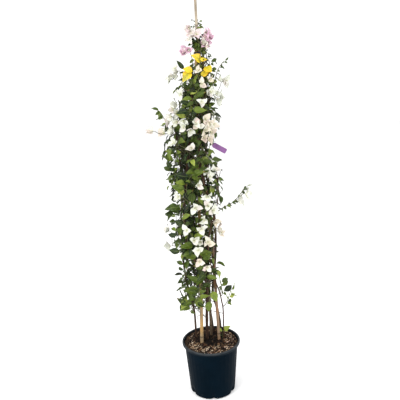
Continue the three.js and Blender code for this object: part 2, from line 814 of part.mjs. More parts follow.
// The rings of a blade with a keel under its middle line: [place along it, share of the half width, keel].
function bladeRings(leaf, rows) {
  return rows.map(([s, share, keel]) => {
    const middle = leafMiddle(leaf, s);
    const off = times(leaf.side, leaf.half * share);
    return [add(middle, off), sub(middle, times(leaf.face, keel)), sub(middle, off)];
  });
}

function leafRings(leaf) {
  const foot = leaf.length > footedLeaf ? [[0, twigTipRadius / leaf.half, leafKeel]] : [];
  return bladeRings(leaf, [...foot, [0.34, 1, leafKeel], [0.7, 0.7, tipKeel]]);
}

function bractRings(bract) {
  return bladeRings(bract, [[0.28, 0.84, bractKeel], [0.68, 0.86, tipKeel]]);
}

// Three-cornered rings along stations, all turned the same way.
function twigRings(stations, firstAcross) {
  return ringsAlong(stations, twigSides, 0, firstAcross);
}

// How much room lies under a four-cornered side, split along its first corner's diagonal or the other.
function heldUnder(side, fromFirst) {
  const [a, b, c, d] = side;
  return fromFirst
    ? dot(a, cross(b, c)) + dot(a, cross(c, d))
    : dot(a, cross(b, d)) + dot(b, cross(c, d));
}

// How much room the sides between two rings of three corners hold, when each side bulges out.
function heldBetween(lower, upper) {
  let held = 0;
  for (let k = 0; k < 3; k += 1) {
    const next = (k + 1) % 3;
    const side = [lower[k], lower[next], upper[next], upper[k]].map((point) => sub(point, lower[0]));
    held += Math.max(heldUnder(side, true), heldUnder(side, false));
  }
  return held;
}

// A limb is rings of three corners with an end point or a flat end, and children that grow out of its
// sides: between which rings, how far along, and which way. The skin of the whole is one closed surface,
// because each child stands on a small triangle let into the side that faces it.
const portRadius = 0.75;

function skinOf(limb) {
  const points = [];
  const faces = [];
  const keep = (point) => points.push(point) - 1;

  function port(corners, place, radius) {
    const [a, b, c, d] = corners.map((i) => points[i]);
    const low = mix(a, b, 0.5);
    const high = mix(d, c, 0.5);
    const middle = mix(low, high, place);
    const rise = unit(sub(high, low));
    const across = square(add(sub(b, a), sub(c, d)), rise);
    const hole = [
      sub(middle, times(rise, radius)),
      add(add(middle, times(rise, radius * 0.6)), times(across, radius * 0.85)),
      sub(add(middle, times(rise, radius * 0.6)), times(across, radius * 0.85)),
    ].map(keep);
    const [p, q, r] = hole;
    const [i, j, k, l] = corners;
    faces.push([i, j, p], [j, q, p], [j, k, q], [k, l, q], [l, r, q], [l, i, r], [i, p, r]);
    return hole;
  }

  function outwardOf(corners) {
    const [a, b, c, d] = corners.map((i) => points[i]);
    return unit(cross(sub(c, a), sub(d, b)));
  }

  function splitSide(corners) {
    const [a, b, c, d] = corners;
    const bulgesOneWay = heldUnder(corners.map((i) => points[i]), true);
    const bulgesOtherWay = heldUnder(corners.map((i) => points[i]), false);
    return bulgesOneWay > bulgesOtherWay ? [[a, b, c], [a, c, d]] : [[a, b, d], [b, c, d]];
  }

  function grow(branch, start) {
    let lower = start;
    branch.rings.forEach((ring, i) => {
      const start = lower.map((k) => points[k]);
      const turns = [0, 1, 2].map((turn) => {
        const turned = ring.map((_, k) => ring[(k + turn) % 3]);
        return { turned, held: heldBetween(start, turned) };
      });
      const upper = turns.sort((m, n) => n.held - m.held)[0].turned.map(keep);
      const sides = [0, 1, 2].map((k) => [lower[k], lower[(k + 1) % 3], upper[(k + 1) % 3], upper[k]]);
      const free = new Set([0, 1, 2]);
      for (const child of (branch.children || []).filter((c) => c.between === i)) {
        const facing = [...free].sort(
          (m, n) => dot(outwardOf(sides[n]), child.way) - dot(outwardOf(sides[m]), child.way),
        )[0];
        free.delete(facing);
        grow(child.limb, port(sides[facing], child.place, child.radius || portRadius));
      }
      for (const k of free) faces.push(...splitSide(sides[k]));
      lower = upper;
    });
    if (branch.end) {
      const end = keep(branch.end);
      for (let k = 0; k < 3; k += 1) faces.push([lower[k], lower[(k + 1) % 3], end]);
    } else {
      faces.push([lower[0], lower[1], lower[2]]);
    }
  }

  const first = limb.first.map(keep);
  faces.push([first[0], first[2], first[1]]);
  grow(limb, first);
  const geometry = new THREE.BufferGeometry();
  geometry.setAttribute("position", new THREE.Float32BufferAttribute(points.flat(), 3));
  geometry.setIndex(faces.flat());
  return solidFrom(geometry);
}

// A bloom on its stalk: a slim core with a point, and three bracts out of its sides.
function bloomLimb(bloom) {
  const { centre, axis, bracts, length } = bloom;
  const stations = [
    { at: sub(centre, times(axis, 1.5)), radius: 2.1 },
    { at: add(centre, times(axis, 4.5)), radius: 1.7 },
  ];
  return {
    rings: twigRings(stations, times(bracts[0].radial, -1)),
    end: add(centre, times(axis, length * 0.42)),
    children: bracts.map((bract) => ({
      between: 1, place: 0.4, way: bract.radial, radius: 0.8,
      limb: { rings: bractRings(bract), end: leafMiddle(bract, 1) },
    })),
  };
}

// The carrier's solid a little larger, to cut the seat of what grows on it.
function seatOf(carrierName) {
  const isCane = carrierName.startsWith("cane");
  const isStem = carrierName.startsWith("stem");
  const sides = isCane ? caneSides : isStem ? stemSides : twigSides;
  return tube(carriers.get(carrierName), sides, isCane || isStem ? seatGap * 1.3 : seatGap * 2);
}

// The largest piece of a solid, which leaves out scraps on the far side of a cut.
function mainPiece(solid) {
  return solid.decompose().sort((a, b) => b.volume() - a.volume())[0];
}

function shootSolid(shoot) {
  const [first, ...rings] = twigRings(shoot.stations);
  const limb = { first, rings, children: [] };
  for (const leaf of shoot.leaves) {
    const blade = { rings: leafRings(leaf), end: leafMiddle(leaf, 1) };
    if (leaf.place === 1) {
      rings.push(...blade.rings);
      limb.end = blade.end;
    } else {
      limb.children.push({ between: leaf.segment - 1, place: leaf.place, way: leaf.along, limb: blade });
    }
  }
  return mainPiece(skinOf(limb).subtract(seatOf(shoot.carrierName)));
}

// The twig passes under each bloom in turn, and the last bloom ends it.
function spraySolid(spray) {
  const [first, ...rings] = twigRings(spray.stations);
  const limb = { first, rings, children: [] };
  spray.blooms.forEach((bloom, n) => {
    const flower = bloomLimb(bloom);
    if (n === spray.blooms.length - 1) {
      const offset = rings.length;
      for (const child of flower.children) limb.children.push({ ...child, between: child.between + offset });
      rings.push(...flower.rings);
      limb.end = flower.end;
      return;
    }
    const { segment, middle } = branchingAt(spray.stations, bloom);
    limb.children.push({ between: segment, place: 0.5, way: sub(bloom.centre, middle), limb: flower });
  });
  return mainPiece(skinOf(limb).subtract(seatOf(spray.carrierName)));
}

function yellowSolid(yellow) {
  const rings = bladeRings(yellow.leaf, [
    [-0.24, 0.04, tipKeel], [0, 0.08, leafKeel], [0.34, 1, leafKeel], [0.72, 0.7, tipKeel],
  ]);
  return mainPiece(loft([...rings, [leafMiddle(yellow.leaf, 1)]]).subtract(seatOf(yellow.carrierName)));
}

// The pot: a profile turned round, its foot drawn in by notches.
const innerFloor = 6;
const potInside = [
  [rimRadius - 7, potHeight],
  [rimRadius - 8, potHeight - rimBand],
  [neckRadius - potWall, potHeight - rimBand - 10],
  [footRadius - potWall + 2, notchHeight + 4],
  [footRadius - potWall, footRounding + innerFloor],
  [footRadius - footRounding * 0.5, innerFloor],
];

function notchAt(turn, z) {
  const pitch = (2 * Math.PI) / notchCount;
  const front = -Math.PI / 2;
  const away = Math.abs(((turn - front + 100.5 * pitch) % pitch) - pitch / 2);
  const fade = Math.max(0, 1 - z / notchHeight);
  return notchDepth * fade * Math.exp(-((away / 0.09) ** 2));
}

function turned(profile, sides) {
  const points = profile.map(([radius, z]) => new THREE.Vector2(radius, z));
  const geometry = new THREE.LatheGeometry(points, sides);
  geometry.rotateX(Math.PI / 2);
  return geometry;
}

function potSolid() {
  const round = footRounding;
  const outside = [[0, 0], [footRadius - round, 0]];
  for (const turn of [30, 60, 90]) {
    const angle = radians(turn);
    outside.push([footRadius - round + round * Math.sin(angle), round - round * Math.cos(angle)]);
  }
  outside.push([(footRadius + neckRadius) / 2 - 0.5, potHeight * 0.46]);
  outside.push([neckRadius, potHeight - rimBand - 6], [rimRadius - 3, potHeight - rimBand]);
  outside.push([rimRadius, potHeight - rimBand + 4], [rimRadius, potHeight - 5], [rimRadius - 4, potHeight]);
  const profile = [...outside, ...potInside, [0, innerFloor]];
  const geometry = turned(profile, potSides);
  const position = geometry.attributes.position;
  for (let i = 0; i < position.count; i += 1) {
    const [x, y, z] = [position.getX(i), position.getY(i), position.getZ(i)];
    const radius = Math.hypot(x, y);
    if (radius < footRadius - footRounding - 0.01) continue;
    const share = (radius - notchAt(Math.atan2(y, x), z)) / radius;
    position.setXY(i, x * share, y * share);
  }
  return solidFrom(geometry);
}

// The compost: it follows the pot's inside, its top is uneven, and canes and stems stand in plain holes.
const soilSectors = 24;
const soilRings = 4;

function soilTopAt(x, y) {
  const waves = Math.sin(x * 0.11 + 1.3) * Math.cos(y * 0.13 - 0.4) + 0.6 * Math.sin(x * 0.23 - y * 0.19);
  return soilHeight + waves * soilRelief;
}

function soilSolid() {
  const [neckInside, , footInside, floorInside] = potInside.slice(2);
  const wallRadius = (z) => {
    const t = (z - footInside[1]) / (neckInside[1] - footInside[1]);
    return footInside[0] + (neckInside[0] - footInside[0]) * t;
  };
  const sideClear = 2.2;
  const topRadius = neckInside[0] + 3;
  const profile = [
    [0, innerFloor + seatGap],
    [floorInside[0] - notchDepth - sideClear, innerFloor + seatGap],
    [footInside[0] - notchDepth * 0.6 - sideClear, footInside[1] + 2],
    [wallRadius(70) - sideClear, 70],
    [neckInside[0] - 0.9, neckInside[1] - 1],
    [topRadius, soilHeight],
  ];
  for (let ring = soilRings - 1; ring >= 0; ring -= 1) {
    profile.push([(topRadius * ring) / soilRings, soilHeight]);
  }
  const geometry = turned(profile, soilSectors);
  const position = geometry.attributes.position;
  for (let i = 0; i < position.count; i += 1) {
    if (position.getZ(i) < soilHeight - 0.01) continue;
    position.setZ(i, soilTopAt(position.getX(i), position.getY(i)));
  }
  let soil = solidFrom(geometry);
  for (const cane of canes) soil = soil.subtract(tube(carriers.get(cane.name), caneSides, seatGap * 1.3));
  for (const stem of stems) soil = soil.subtract(tube(carriers.get(stem.name), stemSides, seatGap * 1.3));
  return soil;
}

// The ties
const tieCentre = [-4.6, -1.1];
const tieInside = 13.3;
const tieBand = { thickness: 2, height: 11 };
const blueTie = { cane: "cane_left", stem: "stem_trunk", height: 1403, thickness: 1.6, band: 5 };

function blackTieSolid() {
  const low = tieHeight - tieBand.height / 2;
  const high = tieHeight + tieBand.height / 2;
  const outside = tieInside + tieBand.thickness;
  const middle = outside + 0.8;
  const profile = [
    [tieInside, low], [outside, low], [middle, tieHeight],
    [outside, high], [tieInside, high], [tieInside, low],
  ];
  const geometry = turned(profile, 16);
  geometry.translate(tieCentre[0], tieCentre[1], 0);
  return solidFrom(geometry);
}

// A flat loop round a cane and a stem, as a band with round ends.
function blueTieSolid() {
  const cane = atHeight(carriers.get(blueTie.cane), blueTie.height);
  const stem = atHeight(carriers.get(blueTie.stem), blueTie.height);
  const inside = Math.max(cane.radius, stem.radius) + 2 * seatGap;
  const outline = (radius) => {
    const way = unit([stem.at[0] - cane.at[0], stem.at[1] - cane.at[1], 0]);
    const heading = Math.atan2(way[1], way[0]);
    const points = [];
    for (const [end, start] of [[cane.at, heading + Math.PI / 2], [stem.at, heading - Math.PI / 2]]) {
      for (let k = 0; k <= 5; k += 1) {
        const turn = start + (Math.PI * k) / 5;
        points.push(new THREE.Vector2(end[0] + radius * Math.cos(turn), end[1] + radius * Math.sin(turn)));
      }
    }
    return points;
  };
  const shape = new THREE.Shape(outline(inside + blueTie.thickness));
  shape.holes.push(new THREE.Path(outline(inside)));
  const geometry = new THREE.ExtrudeGeometry(shape, { depth: blueTie.band, bevelEnabled: false, steps: 1 });
  geometry.translate(0, 0, blueTie.height - blueTie.band / 2);
  return solidFrom(geometry);
}

function labelSolid() {
  const { way, ringMiddle, plateStart } = hungLabel;
  const ring = new THREE.TorusGeometry(label.ring, label.wire, 4, 8);
  ring.applyQuaternion(
    new THREE.Quaternion().setFromUnitVectors(new THREE.Vector3(0, 0, 1), new THREE.Vector3(...way)),
  );
  ring.translate(...ringMiddle);
  const wide = square([0.5, 0.05, 0.86], labelSlope);
  const corners = (at, half) => {
    const thick = times(cross(labelSlope, wide), label.thickness / 2);
    const left = sub(at, times(wide, half));
    const right = add(at, times(wide, half));
    return [sub(left, thick), sub(right, thick), add(right, thick), add(left, thick)];
  };
  const half = label.width / 2;
  const strip = loft([
    corners(plateStart, 1.5),
    corners(add(plateStart, times(labelSlope, 4)), half * 0.8),
    corners(add(plateStart, times(labelSlope, 9)), half),
    corners(add(plateStart, times(labelSlope, label.length)), half),
  ]);
  return Manifold.union([solidFrom(ring), strip]);
}

// Colours and finishes
const finishes = {
  pot: { color: 0x1a2430, roughness: 0.62 },
  soil: { color: 0x4a382b, roughness: 0.95 },
  cane: { color: 0xb89058, roughness: 0.6 },
  bark: { color: 0x4a3427, roughness: 0.85 },
  leaf: { color: 0x3f6b26, roughness: 0.5 },
  yellow: { color: 0xe3c81e, roughness: 0.55 },
  white: { color: 0xf4f4ee, roughness: 0.7 },
  cream: { color: 0xf3ead2, roughness: 0.7 },
  pink: { color: 0xe3b3d3, roughness: 0.7 },
  blackTie: { color: 0x1c1c1e, roughness: 0.6 },
  blueTie: { color: 0x3c5a78, roughness: 0.7 },
  label: { color: 0x9a55a8, roughness: 0.5 },
};
const materials = {};
for (const [name, finish] of Object.entries(finishes)) {
  materials[name] = new THREE.MeshStandardMaterial({ metalness: 0, ...finish });
}

const plant = new THREE.Group();

function place(name, solid, finish) {
  const mesh = new THREE.Mesh(geometryOf(solid), materials[finish]);
  mesh.name = name;
  plant.add(mesh);
}

place("pot", potSolid(), "pot");
place("soil", soilSolid(), "soil");
for (const cane of canes) place(cane.name, tube(carriers.get(cane.name), caneSides, 0), "cane");
for (const stem of stems) place(stem.name, tube(carriers.get(stem.name), stemSides, 0), "bark");
for (const shoot of grownShoots) place(shoot.name, shootSolid(shoot), "leaf");
for (const spray of routedSprays) place(spray.name, spraySolid(spray), spray.colour);
for (const yellow of grownYellow) place(yellow.name, yellowSolid(yellow), "yellow");
place("tie_black", blackTieSolid(), "blackTie");
place("tie_blue", blueTieSolid(), "blueTie");
place("label", labelSolid(), "label");

export default plant;
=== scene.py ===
# The looks of a white bougainvillea that climbs three bamboo canes in a black nursery pot.
# Every size here is in metres unless its name says otherwise.

import json
import math
import random
from collections import namedtuple

import bmesh
import bpy
import numpy as np
from bpy.props import FloatProperty, FloatVectorProperty, IntProperty, PointerProperty
from mathutils import Matrix, Vector, noise

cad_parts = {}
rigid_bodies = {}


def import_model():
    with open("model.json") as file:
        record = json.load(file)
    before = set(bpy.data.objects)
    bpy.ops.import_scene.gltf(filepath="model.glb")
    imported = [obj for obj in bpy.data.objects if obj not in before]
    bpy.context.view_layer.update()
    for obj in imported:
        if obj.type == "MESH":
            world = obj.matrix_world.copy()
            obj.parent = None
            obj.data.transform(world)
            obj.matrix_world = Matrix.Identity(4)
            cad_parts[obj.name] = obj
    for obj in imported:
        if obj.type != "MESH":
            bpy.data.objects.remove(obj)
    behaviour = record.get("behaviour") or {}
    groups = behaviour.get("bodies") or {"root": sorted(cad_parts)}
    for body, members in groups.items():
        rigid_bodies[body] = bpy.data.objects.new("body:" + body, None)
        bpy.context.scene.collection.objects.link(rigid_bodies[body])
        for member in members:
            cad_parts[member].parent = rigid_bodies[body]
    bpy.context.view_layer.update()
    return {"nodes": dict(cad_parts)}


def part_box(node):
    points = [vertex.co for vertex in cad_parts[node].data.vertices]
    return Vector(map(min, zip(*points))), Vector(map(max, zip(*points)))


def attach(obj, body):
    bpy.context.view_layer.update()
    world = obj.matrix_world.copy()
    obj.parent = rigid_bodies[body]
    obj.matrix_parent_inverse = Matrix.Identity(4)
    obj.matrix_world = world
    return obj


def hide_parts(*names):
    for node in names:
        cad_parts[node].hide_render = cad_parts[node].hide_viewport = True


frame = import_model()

bl_info = {
    "name": "Potted White Bougainvillea",
    "version": (1, 0, 0),
    "blender": (4, 5, 0),
    "location": "3D View > Sidebar > Bougainvillea",
    "description": "Pot, compost, canes, stems, foliage and bracts of a climbing bougainvillea",
    "category": "Object",
}

MM = 0.001
UP = Vector((0, 0, 1))

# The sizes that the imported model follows, for the shapes that are turned or follow a formula
POT_HEIGHT = 0.246
RIM_RADIUS = 0.130
NECK_RADIUS = 0.119
FOOT_RADIUS = 0.102
FOOT_ROUNDING = 0.012
RIM_BAND = 0.014
POT_WALL = 0.003
INNER_FLOOR = 0.006
NOTCH_COUNT = 6
NOTCH_DEPTH = 0.011
NOTCH_HEIGHT = 0.046
NOTCH_WIDTH = 0.09
SOIL_HEIGHT = 0.235
SOIL_RELIEF = 0.0026
SOIL_RADIUS = 0.119

# The camera, fitted to the photograph's pot rim and foot
CAMERA_PLACE = (0.0, -2.3, 1.538)
CAMERA_PITCH = math.radians(15.5)
CAMERA_YAW = math.radians(-0.53)
CAMERA_ROLL = math.radians(-2.6)
FOCAL_PIXELS = 566.9
PHOTO_PIXELS = 400
SENSOR_MM = 36.0

# The floor's section, and where each soft light stands and how wide it is
FLOOR_OUTLINE = ((0, -0.02), (9, -0.02), (9, 0), (0, 0))
FLOOR_TURNS = 96
LAMPS = {"key": ((-2.2, -2.6, 3.0), 2.2), "fill": ((2.8, -1.6, 1.8), 2.4)}
LAMP_AIM = Vector((0, 0, 0.9))


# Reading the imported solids

# How a blade's solid is laid out: where its two rings stand along it, how wide the lower one is as a
# share of the blade's half width, and how far the blade bends away from its face.
BladeForm = namedtuple("BladeForm", "near_ring far_ring near_share bend")
LEAF_FORM = BladeForm(0.34, 0.70, 1.0, 0.16)
BRACT_FORM = BladeForm(0.28, 0.68, 0.84, -0.06)
YELLOW_FORM = BladeForm(0.34, 0.72, 1.0, 0.16)

Blade = namedtuple("Blade", "foot along face side length half")
Bloom = namedtuple("Bloom", "centre axis length stalk_foot")
Station = namedtuple("Station", "at radius")

MERGE_REACH = 2e-6
FOOTED_LEAF = 0.042
CORE_WIDTH = 0.005
CORE_FOOT = 0.0045
CORE_REACH = 0.42
CORE_ROOM = 0.0055
RING_EDGE = {"shoot": 0.0042, "spray": 0.0042, "stem": 0.013, "cane": 0.010}
PORT_RADIUS = 0.00095
TWIG_RADIUS = 0.0021
TOUCHING_SHARE = 0.3


def read_corners(node):
    """A node's corners with doubles merged, the corners that touch each, and how many faces meet at each."""
    mesh = frame["nodes"][node].data
    places = np.empty(len(mesh.vertices) * 3)
    mesh.vertices.foreach_get("co", places)
    places = places.reshape(-1, 3)
    around = np.empty(len(mesh.loops), np.int64)
    mesh.loops.foreach_get("vertex_index", around)
    grid = np.round(places / MERGE_REACH).astype(np.int64)
    _, first, same = np.unique(grid, axis=0, return_index=True, return_inverse=True)
    faces = same.ravel()[around].reshape(-1, 3)
    near = [set() for _ in first]
    meeting = [0] * len(first)
    for face in faces.tolist():
        if len(set(face)) < 3:
            continue
        for corner in face:
            near[corner].update(face)
            meeting[corner] += 1
    for corner, others in enumerate(near):
        others.discard(corner)
    return places[first], near, meeting


def rings_below(tip, near):
    """The rings of three corners that follow one another down from a blade's tip."""
    used = {tip}
    ring = near[tip]
    rings = []
    while len(ring) == 3:
        rings.append(sorted(ring))
        used |= ring
        ring = set().union(*(near[corner] for corner in ring)) - used
    return rings


def ring_middle(points):
    """The middle between a ring's two outer corners, and half the way between them."""
    pairs = ((0, 1), (1, 2), (2, 0))
    width, i, j = max((float(np.linalg.norm(points[i] - points[j])), i, j) for i, j in pairs)
    return (points[i] + points[j]) / 2, width / 2


def read_blade(places, rings, tip, form):
    """A blade's frame, solved from its two rings and its tip, which lie on one bent middle line."""
    far, _ = ring_middle(places[rings[0]])
    near, half = ring_middle(places[rings[1]])
    p, q = form.near_ring, form.far_ring
    shares = np.array([[q - p, -form.bend * (q * q - p * p)], [1 - p, -form.bend * (1 - p * p)]])
    reach, lift = np.linalg.solve(shares, np.array([far - near, places[tip] - near]))
    length = float(np.linalg.norm(reach))
    along = reach / length
    face = lift - along * np.dot(lift, along)
    face = face / np.linalg.norm(face)
    foot = near - reach * p + lift * form.bend * p * p
    side = np.cross(along, face)
    return Blade(Vector(foot), Vector(along), Vector(face), Vector(side), length, half / form.near_share)


def clusters_of(corners, places, near, edge):
    """Corners joined by edges shorter than edge, as lists."""
    left = set(corners)
    groups = []
    for corner in sorted(left):
        if corner not in left:
            continue
        left.discard(corner)
        group = [corner]
        for member in group:
            close = {
                other for other in near[member] & left
                if np.linalg.norm(places[other] - places[member]) < edge
            }
            left -= close
            group.extend(sorted(close))
        groups.append(group)
    return groups


def station_of(group, places):
    """The middle of some corners, and how far they lie from it."""
    points = places[group]
    middle = points.mean(0)
    return Station(Vector(middle), float(np.linalg.norm(points - middle, axis=1).mean()))


def chain_of(groups, places, near):
    """The rings of a twig in order from its foot, followed down from the thin end."""
    owner = {corner: i for i, group in enumerate(groups) for corner in group}
    touching = [
        {owner[other] for corner in group for other in near[corner] if other in owner} for group in groups
    ]
    stations = [station_of(group, places) for group in groups]
    left = set(range(len(groups)))
    here = min(left, key=lambda i: stations[i].radius)
    order = []
    while True:
        order.append(here)
        left.discard(here)
        if not left:
            break
        here = min(sorted(left), key=lambda i: (
            (stations[i].at - stations[here].at).length * (TOUCHING_SHARE if i in touching[here] else 1)
        ))
    order.reverse()
    return [Station(stations[i].at, min(stations[i].radius, TWIG_RADIUS)) for i in order]


def read_core(places, rings, tip):
    """The middle and the way of a bloom, from the slim point that stands in it."""
    middle = Vector(places[rings[0]].mean(0))
    rise = Vector(places[tip]) - middle
    axis = rise.normalized()
    return middle - axis * CORE_FOOT, axis, (rise.length + CORE_FOOT) / CORE_REACH


def read_leafy(node, form):
    """What a shoot or spray holds: its twig's stations, its blades, and its blooms."""
    places, near, meeting = read_corners(node)
    blades, cores, taken, roots = [], [], set(), set()
    for tip in range(len(places)):
        rings = rings_below(tip, near) if meeting[tip] == 3 else []
        if not rings:
            continue
        _, far_half = ring_middle(places[rings[0]])
        if far_half * 2 < CORE_WIDTH:
            if form is BRACT_FORM:
                cores.append(read_core(places, rings, tip))
            continue
        if len(rings) < 2:
            continue
        blade = read_blade(places, rings, tip, form)
        blades.append(blade)
        footed = form is LEAF_FORM and blade.length > FOOTED_LEAF
        root = 3 if footed else 2
        for ring in rings[:root]:
            taken.update(ring)
        taken.add(tip)
        if len(rings) > root and station_of(rings[root], places).radius < PORT_RADIUS:
            roots.update(rings[root])
    blooms = []
    for centre, axis, length in cores:
        inside = {i for i, place in enumerate(places) if (Vector(place) - centre).length < CORE_ROOM}
        below = set().union(*(near[corner] for corner in inside)) - inside - taken - roots
        below = [corner for corner in below if (Vector(places[corner]) - centre).dot(axis) < 0]
        blooms.append(Bloom(centre, axis, length, Vector(places[below].mean(0))))
        taken |= inside | {i for i, place in enumerate(places) if (Vector(place) - centre).dot(axis) > 0
                           and (Vector(place) - centre).length < CORE_REACH * length + MM}
    groups = clusters_of(set(range(len(places))) - taken - roots, places, near, RING_EDGE[node.split("_")[0]])
    rings = [group for group in groups if station_of(group, places).radius >= PORT_RADIUS]
    return chain_of(rings, places, near), blades, blooms


def read_route(node):
    """A stem's or cane's stations, from its foot up."""
    places, near, _ = read_corners(node)
    groups = clusters_of(range(len(places)), places, near, RING_EDGE[node.split("_")[0]])
    return sorted((station_of(group, places) for group in groups), key=lambda station: station.at.z)


def at_height(route, z):
    """Where a route that rises all the way passes a height, and its radius there."""
    for low, high in zip(route, route[1:]):
        if z <= high.at.z:
            share = max(0.0, (z - low.at.z) / (high.at.z - low.at.z))
            return Station(low.at.lerp(high.at, share), low.radius + (high.radius - low.radius) * share)
    return route[-1]


SHOOTS = sorted(node for node in frame["nodes"] if node.startswith("shoot_"))
SPRAYS = sorted(node for node in frame["nodes"] if node.startswith("spray_"))
STEMS = sorted(node for node in frame["nodes"] if node.startswith("stem_"))
CANES = sorted(node for node in frame["nodes"] if node.startswith("cane_"))
YELLOW_LEAVES = sorted(node for node in frame["nodes"] if node.startswith("yellow_leaf_"))
leafy = {node: read_leafy(node, LEAF_FORM) for node in SHOOTS}
leafy.update({node: read_leafy(node, BRACT_FORM) for node in SPRAYS})
routes = {node: read_route(node) for node in STEMS + CANES}


# Tools that the pieces share

PLASTIC_GLOSS = 0.02
LEAF_GLOSS = 0.22
BRACT_GLOSS = 0.15
PLAIN_GLOSS = 0.5


def shade(red, green, blue):
    """A colour given from 0 to 255, as Blender's linear colour."""
    levels = [level / 255 for level in (red, green, blue)]
    return tuple(
        level / 12.92 if level <= 0.04045 else ((level + 0.055) / 1.055) ** 2.4 for level in levels
    )


class Recipe:
    """A node tree, written down node by node."""

    def __init__(self, tree):
        self.tree = tree
        tree.nodes.clear()

    def add(self, kind, inputs=(), **settings):
        """A new node; inputs gives each socket, by name or number, a value or another node's output."""
        node = self.tree.nodes.new(kind)
        for name, value in settings.items():
            setattr(node, name, value)
        for name, value in dict(inputs).items():
            if isinstance(value, bpy.types.NodeSocket):
                self.tree.links.new(value, node.inputs[name])
            else:
                node.inputs[name].default_value = value
        return node

    def named(self, name, data_type="FLOAT"):
        """A named attribute of the geometry that the tree works on."""
        return self.add("GeometryNodeInputNamedAttribute", {"Name": name}, data_type=data_type).outputs[0]

    def sum(self, operation, *values, clamp=False):
        """One step of arithmetic."""
        inputs = dict(enumerate(values))
        return self.add("ShaderNodeMath", inputs, operation=operation, use_clamp=clamp).outputs[0]

    def plus(self, first, second, clamp=False):
        return self.sum("ADD", first, second, clamp=clamp)

    def minus(self, first, second):
        return self.sum("SUBTRACT", first, second)

    def times(self, first, second):
        return self.sum("MULTIPLY", first, second)

    def greater(self, first, second):
        return self.sum("MAXIMUM", first, second)

    def painted(self, name):
        """What a mesh attribute says at each point of a surface."""
        return self.add("ShaderNodeAttribute", attribute_name=name).outputs["Fac"]

    def place(self, stretch=(1, 1, 1)):
        """The point in metres, with each axis stretched."""
        where = self.add("ShaderNodeTexCoord").outputs["Object"]
        return self.add("ShaderNodeMapping", {"Vector": where, "Scale": stretch}).outputs[0]

    def height(self):
        """How high a point stands above the floor."""
        return self.add("ShaderNodeSeparateXYZ", {0: self.place()}).outputs[2]

    def noise(self, scale, where=None, detail=3.0, roughness=0.55):
        """Soft noise from 0 to 1."""
        inputs = {"Scale": scale, "Detail": detail, "Roughness": roughness}
        inputs["Vector"] = where or self.place()
        return self.add("ShaderNodeTexNoise", inputs).outputs["Fac"]

    def ramp(self, share, *stops):
        """Colours by a share from 0 to 1; each stop is its place and its colour."""
        node = self.add("ShaderNodeValToRGB", {0: share})
        stones = node.color_ramp.elements
        while len(stones) < len(stops):
            stones.new(1.0)
        for stone, (position, colour) in zip(stones, stops):
            stone.position = position
            stone.color = (*colour[:3], 1.0)
        return node.outputs["Color"]

    def span(self, value, low, high, new_low=0.0, new_high=1.0):
        """A value carried from one span to another, and held inside it."""
        return self.add("ShaderNodeMapRange", {0: value, 1: low, 2: high, 3: new_low, 4: new_high}).outputs[0]

    def blend(self, share, first, second, way="MIX"):
        """Two colours mixed by a share."""
        first, second = (
            tone if isinstance(tone, bpy.types.NodeSocket) else (*tone[:3], 1.0) for tone in (first, second)
        )
        inputs = {0: share, 6: first, 7: second}
        return self.add("ShaderNodeMix", inputs, data_type="RGBA", blend_type=way).outputs[2]

    def over(self, tone, colour, share, strength):
        """A colour laid over a tone, by a share times a strength."""
        return self.blend(self.times(share, strength), tone, colour)

    def surface(self, tone, roughness, height, depth, strength, gloss=PLAIN_GLOSS):
        """What a Principled surface is given; a height from 0 to 1 stands for a depth in metres."""
        relief = self.add("ShaderNodeBump", {"Height": height, "Distance": depth, "Strength": strength})
        return {
            "Base Color": tone, "Roughness": roughness, "Normal": relief.outputs["Normal"],
            "Specular IOR Level": gloss,
        }

    def geometry(self, kind, inputs=(), **settings):
        """The first output of a new geometry node."""
        return self.add("GeometryNode" + kind, inputs, **settings).outputs[0]

    def planted(self, points, shapes, index, turn, size):
        """A collection's shapes set on points, each by its index, its turn and its size."""
        kinds = self.geometry("CollectionInfo", {
            "Collection": shapes, "Separate Children": True, "Reset Children": True,
        })
        return self.geometry("InstanceOnPoints", {
            "Points": points, "Instance": kinds, "Pick Instance": True, "Instance Index": index,
            "Rotation": turn, "Scale": size,
        })

    def dressed(self, shape, finish, where=True):
        """A shape in a finish, all of it or only where a selection says so."""
        return self.geometry("SetMaterial", {"Geometry": shape, "Material": finish, "Selection": where})


def material_of(name, cook, *colours):
    """The material of a name; its function cook gives the inputs of its one Principled surface."""
    material = bpy.data.materials.get(name) or bpy.data.materials.new(name)
    material.use_nodes = True
    mix = Recipe(material.node_tree)
    surface = mix.add("ShaderNodeBsdfPrincipled", cook(mix, *colours))
    mix.add("ShaderNodeOutputMaterial", {"Surface": surface.outputs[0]})
    return material


def object_of(name, points, edges=(), faces=(), smooth=True):
    """A new object with a mesh of these points, linked to the scene."""
    mesh = bpy.data.meshes.new(name)
    mesh.from_pydata([tuple(point) for point in points], [tuple(edge) for edge in edges], faces)
    mesh.polygons.foreach_set("use_smooth", [smooth] * len(mesh.polygons))
    thing = bpy.data.objects.new(name, mesh)
    bpy.context.scene.collection.objects.link(thing)
    return thing


def write_down(mesh, name, kind, values, domain="POINT"):
    """A named attribute on a mesh."""
    attribute = mesh.attributes.new(name, kind, domain)
    flat = np.array(values, dtype=float if kind != "INT" and kind != "BOOLEAN" else int).ravel()
    slots = {"FLOAT_VECTOR": "vector", "FLOAT_COLOR": "color"}
    attribute.data.foreach_set(slots.get(kind, "value"), flat)


